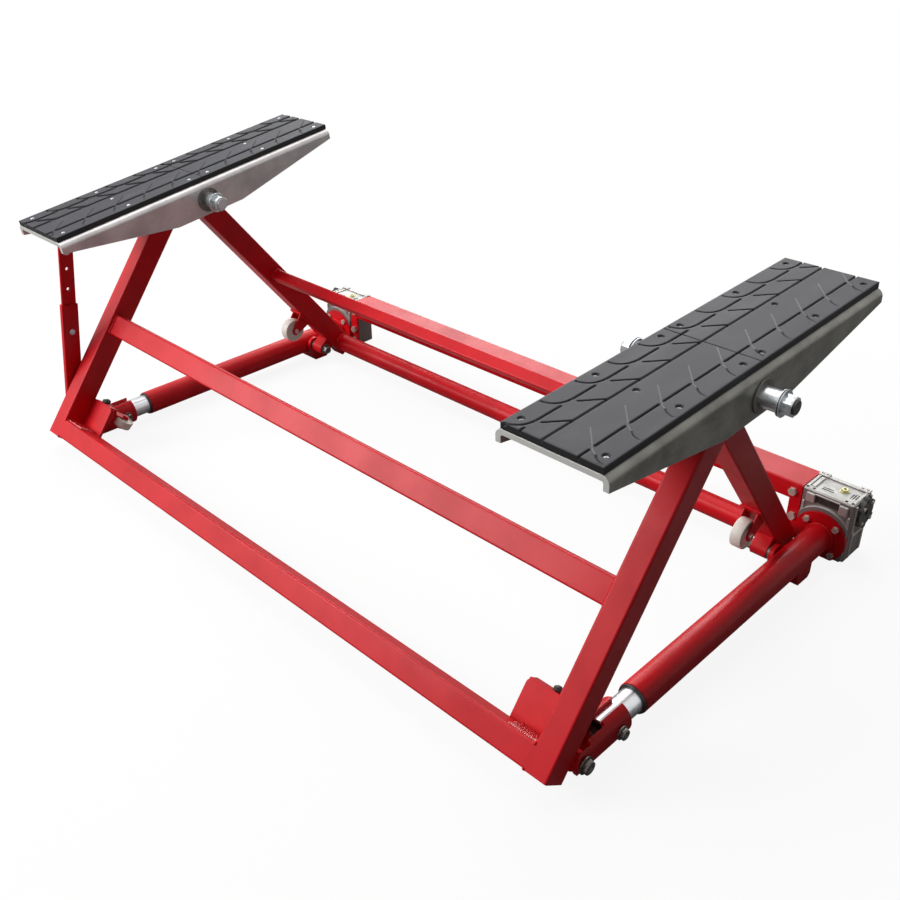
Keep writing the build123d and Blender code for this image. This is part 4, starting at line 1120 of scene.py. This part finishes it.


# Gearbox castings: ribs, rails and lobes on the plain cases, and dark strips painted as the shade of recesses,
# millimetres from the spindle's axis at the front face

gearboxCast = {
    "reach": 0.129,  # behind the rear pivot
    "top": (
        ((-47, 17, 93), (-38, 63, 96.6), 0.9),
        ((-57, 66, 96), (-33, 80, 99.5), 0.8),
        ((33, 66, 96), (57, 80, 99.5), 0.8),
    ),
    # painted shade: thin dark strips on the top standing in for the shade of slots
    "topDark": (
        ((-26, 16, 93), (8, 18, 94.3), 0.3),
        ((-27, 23, 93), (0, 25, 94.3), 0.3),
        ((-27, 30, 93), (-4, 32, 94.3), 0.3),
        ((33, 27, 93), (35, 47, 94.3), 0.3),
        ((38, 28, 93), (40, 48, 94.3), 0.3),
        ((43, 29, 93), (45, 49, 94.3), 0.3),
        ((-53, 71, 99), (-47, 74, 99.8), 0.2),
        ((-42, 71, 99), (-36, 74, 99.8), 0.2),
        ((36, 71, 99), (42, 74, 99.8), 0.2),
        ((47, 71, 99), (53, 74, 99.8), 0.2),
    ),
    "front": (
        ((-46, -5, 69), (-27, 1, 90), 1.2),
        ((27, -5, 66), (46, 1, 88), 1.2),
        ((-27, -2.5, 88), (27, 1, 91), 0.6),
        ((-53, -3, -30), (-48, 1, 66), 0.8),
        ((48, -3, -30), (53, 1, 66), 0.8),
    ),
    # painted shade: a dark plate standing in for the front recess in shade
    "frontDark": (((-26, -0.7, 71), (26, 0.5, 87.5), 0.2),),
    "side": (  # on the right gearbox, mirrored for the left
        ((56, 6, 26), (61, 12, 92), 1.0),
        ((56, 70, 26), (61, 76, 92), 1.0),
        ((56, 14, -40), (60, 20, 24), 1.0),
        ((56, 62, -40), (60, 68, 24), 1.0),
        ((56, 20, 10), (59, 62, 14), 0.8),
    ),
}
coverLobes = {
    "count": 6,
    "circle": 0.030,
    "radius": 0.0065,
    "height": 0.0115,
    "rim": (0.8, 0.85),  # where the rounding starts, in radii and heights
    "face": 0.057,  # from the spindle's axis
    "steps": 12,
}


def makeGearboxes(cast, lobes):
    axis = Vector(joints["right_screw_turn"]["axis"])
    radius, height = lobes["radius"], lobes["height"]
    inward, upward = lobes["rim"]
    profile = [(0.0, height), (radius * inward, height), (radius, height * upward), (radius, 0.0)]
    for side, sign in sides.items():
        origin = Vector(joints[side + "_screw_turn"]["pos_m"]) + axis * cast["reach"]
        place = crossMatrix(origin, axis, acrossAxis.cross(axis))
        flip = [((sign * a[0], *a[1:]), (sign * b[0], *b[1:]), soft) for a, b, soft in cast["side"]]
        ribs = [(tuple(map(min, a, b)), tuple(map(max, a, b)), soft) for a, b, soft in flip]
        light = blocks(side + "GearboxRibs", [*cast["top"], *cast["front"], *ribs], "castRib")
        # the dark strips are painted shade, joined below with the real dark lobes
        dark = [blocks(side + "Recess", [*cast["frontDark"], *cast["topDark"]], "darkCover")]
        centre = place.inverted() @ Vector((place.translation.x, *joints["input_turn"]["pos_m"][1:]))
        for lobe in range(lobes["count"]):
            angle = 2 * math.pi * (lobe + 0.5) / lobes["count"]
            y, z = lobes["circle"] * math.cos(angle), lobes["circle"] * math.sin(angle)
            spot = axisMatrix((sign * lobes["face"], centre.y + y, centre.z + z), (sign, 0, 0))
            dark += placed(spot, lathe("boss", profile, lobes["steps"], "darkCover"))
        light.transform(place)
        addPiece(side + "GearboxRibs", light, "drive_unit", "cast_aluminium")
        mesh = joined(side + "GearboxLobes", dark)
        mesh.transform(place)
        addPiece(side + "GearboxLobes", mesh, "drive_unit", "dark_cover")
    print("gearboxes ribbed")


makeGearboxes(gearboxCast, coverLobes)


# Oil plugs: washer, chamfered hexagon and a socket painted black as shade

oilPlug = {
    "rise": 0.007,  # of the plain plug above the lid
    "washer": (0.0098, 0.0015),
    "flats": 0.0135,
    "head": 0.0068,
    "chamfer": 0.0009,
    "socket": 0.0034,
    "deep": 0.003,
    "steps": (20, 12),
}


def makePlugs(plug):
    up = acrossAxis.cross(Vector(joints["right_screw_turn"]["axis"]))
    bore, high = plug["socket"], plug["head"]
    floor = high - plug["deep"]
    rim, thick = plug["washer"]
    many, few = plug["steps"]
    meshes = []
    for solid in islands("oil_plugs"):
        seat = max(Vector(point).dot(up) for point in solid) - plug["rise"]
        middle = Vector(solid.mean(axis=0))
        place = axisMatrix(middle + up * (seat - middle.dot(up)), up)
        washer = lathe("washer", [(bore, 0.0), (rim, 0.0), (rim, thick), (bore, thick)], many, "brassPlug")
        head = nutMesh("head", plug["flats"], thick, high, plug["chamfer"], bore, "brassPlug")
        # painted shade: the socket's walls and floor are black
        well = lathe("well", [(0.0, floor), (bore, floor), (bore, high)], few, "blackBush")
        meshes += placed(place, washer, head, well)
    addPiece("oilPlugs", joined("oilPlugs", meshes), "drive_unit", "brass_plug", "oil_plugs")
    print("plugs turned")


makePlugs(oilPlug)


# Top pivots: what is threaded on each end of the long bolts, outwards from the channel's face

apexStack = {
    "faces": (0.647, 0.847),
    "gap": 0.0002,
    "rings": {  # radius, thickness and finish of each; the sleeve is the CAD node's own
        "plateWasher": (0.029, 0.003, "channelWasher"),
        "sleeve": (None, 0.030, None),
        "flatWasher": (0.0222, 0.0020, "zinc"),
        "springWasher": (0.0212, 0.0024, "darkSteel"),
        "thickWasher": (0.0228, 0.0010, "zinc"),
    },
    "bevel": (0.0004, 0.3),  # at most, and in thicknesses
    "nut": (0.032, 0.017, 0.0016),  # flats, height, chamfer
    "bore": 0.01202,
    "steps": 48,
}


def makeTopPivots(stack):
    centre = Vector(joints["apex_fold"]["pos_m"])
    bore = stack["bore"]
    plates, bright = [], []
    for sign in sides.values():
        for face, way in zip(stack["faces"], (-1, 1)):
            start = stack["gap"]
            rings = []
            for key, (radius, thick, finish) in stack["rings"].items():
                end = start + thick
                if finish:
                    most, share = stack["bevel"]
                    soft = min(most, thick * share)
                    profile = [(bore, start), (radius - soft, start), (radius, start + soft)]
                    profile += [(radius, end - soft), (radius - soft, end), (bore, end)]
                    rings.append(lathe(key, profile, stack["steps"], finish))
                start = end
            flats, high, chamfer = stack["nut"]
            rings.append(nutMesh("apexNut", flats, start, start + high, chamfer, bore, "zinc"))
            place = axisMatrix(Vector((sign * face, *centre[1:])), (sign * way, 0, 0))
            plate, *outer = placed(place, *rings)
            plates.append(plate)
            bright += outer
    addPiece("plateWashers", joined("plateWashers", plates), "pivot_bolts", "zinc", "apex_nuts")
    addPiece("apexNuts", joined("apexNuts", bright), "pivot_bolts", "zinc", "apex_nuts")
    print("top pivots stacked")


makeTopPivots(apexStack)


# Caster wheels: nylon with a rim lip, a dished web and a hub

wheelShares = {"lip": 0.09, "dish": 0.14, "hub": 0.36, "bore": 0.16, "round": 0.05, "steps": 64}


def wheelMesh(name, radius, width, shares):
    half = width / 2
    soft = radius * shares["round"]
    dish = half - width * shares["dish"]
    hub = radius * shares["hub"]
    lip = radius * (1 - shares["lip"])
    outer = [
        (radius * shares["bore"], half),
        (hub - soft, half),
        (hub, half - soft),
        (hub + soft * 0.5, dish),
        (lip - soft * 1.4, dish),
        (lip - soft * 0.5, half - soft * 0.6),
        (lip, half),
        (radius - soft * 1.6, half),
        (radius - soft * 0.5, half - soft * 0.5),
        (radius, half - soft * 1.6),
    ]
    profile = outer + [(reach, -height) for reach, height in outer[::-1]]
    return lathe(name, profile + profile[:1], shares["steps"], "nylon")


def makeWheels(shares):
    for side in sides:
        for end in ("rear", "front"):
            node = side + "_" + end + "_wheel"
            joint = joints[side + "_" + end + "_roll"]
            local = pointsOf(node) - np.array(joint["pos_m"])
            along = local @ np.array(joint["axis"])
            reach = np.sqrt((local ** 2).sum(axis=1) - along ** 2)
            name = side + end.capitalize() + "Wheel"
            mesh = wheelMesh(name, float(reach.max()), float(along.max() - along.min()), shares)
            mesh.transform(axisMatrix(joint["pos_m"], joint["axis"]))
            addPiece(name, mesh, side + "_" + end + "_caster_wheel", "nylon", node)
    print("wheels turned")


makeWheels(wheelShares)


# Stage: pale floor, soft light, camera at the photograph's angle

cameraPlace = {
    "azimuth": 44.6527,
    "elevation": 29.9195,
    "centre": (1.4891, -1.4076, 1.2884),
    "lens": 40.8834,
    "sensor": 36.0,
}
lightPlan = {
    "ambient": 0.07,
    "floorReach": 30.0,
    "floorTone": 0.32,
    "floorRoughness": 0.9,
    "floorGlow": 0.9,  # the rest is shaded and keeps the shadow
    "floorFade": (1.0, 2.2),  # the shading ends between these reaches
    "floorGloss": 0.04,
    "lamps": {
        "overhead": {"place": (-0.7, 0.3, 3.0), "aim": (0.0, 0.0, 0.3), "size": (3.0, 2.4), "power": 52.0},
        "frontLeft": {"place": (-2.85, -3.5, 2.6), "aim": (0.0, -0.2, 0.2), "size": (2.7, 2.1), "power": 212.0},
        "behind": {"place": (-2.1, 3.0, 1.9), "aim": (0.0, 0.0, 0.3), "size": (3.4, 1.8), "power": 86.0},
    },
}


def raysSeen(graph, mirrored):
    # 1 for what the camera sees straight, the mirrored share for what it sees in gloss and glass
    path = graph.make("ShaderNodeLightPath", output="Is Camera Ray")
    return path.most(path.also("Is Glossy Ray").most(path.also("Is Transmission Ray")) * mirrored)


def makeSky(plan):
    world = bpy.data.worlds.new("studio")
    world.use_nodes = True
    scene.world = world
    graph = Graph(world.node_tree)
    seen = raysSeen(graph, 1.0)
    strength = seen + (1.0 - seen) * plan["ambient"]
    graph.feed(world.node_tree.nodes["Background"], {"Color": white, "Strength": strength})


def makeFloor(plan):
    reach = plan["floorReach"]
    corners = [(x * reach, y * reach, 0) for x, y in ((-1, -1), (1, -1), (1, 1), (-1, 1))]
    mesh = bpy.data.meshes.new("floor")
    mesh.from_pydata(corners, [], [(0, 1, 2, 3)])
    fixed = {"Roughness": plan["floorRoughness"], "Specular IOR Level": 0.0}
    graph, shader, place = newFinish("floorPaper", fixed)
    grey = (*[plan["floorTone"]] * 3, 1.0)
    graph.feed(shader, {"Base Color": graph.mix(raysSeen(graph, 0.0), grey, white)})
    glow = graph.make("ShaderNodeEmission", {"Color": white, "Strength": 1.0})
    away = graph.make("ShaderNodeVectorMath", {0: place}, "Value", operation="LENGTH")
    share = plan["floorGlow"] + (1.0 - plan["floorGlow"]) * away.ramp(*plan["floorFade"])
    shade = Wire(graph, shader.outputs["BSDF"])
    parts = {0: raysSeen(graph, plan["floorGloss"]) * share, 1: shade, 2: glow}
    both = graph.make("ShaderNodeMixShader", parts)
    graph.feed(graph.tree.nodes["Material Output"], {"Surface": both})
    mesh.materials.append(finishes["floorPaper"])
    addObject("floor", mesh)


def makeLamps(lamps):
    for name, lamp in lamps.items():
        data = bpy.data.lights.new(name, "AREA")
        data.shape = "RECTANGLE"
        data.size, data.size_y = lamp["size"]
        data.energy = lamp["power"]
        back = Vector(lamp["place"]) - Vector(lamp["aim"])
        addObject(name, data).matrix_world = axisMatrix(lamp["place"], back)


def makeCamera(place):
    data = bpy.data.cameras.new("camera")
    data.lens = place["lens"]
    data.sensor_width = place["sensor"]
    turn, rise = math.radians(place["azimuth"]), math.radians(place["elevation"])
    back = Vector((math.sin(turn) * math.cos(rise), -math.cos(turn) * math.cos(rise), math.sin(rise)))
    scene.camera = addObject("camera", data)
    scene.camera.matrix_world = axisMatrix(place["centre"], back)


makeSky(lightPlan)
makeFloor(lightPlan)
makeLamps(lightPlan["lamps"])
makeCamera(cameraPlace)
print("stage set")
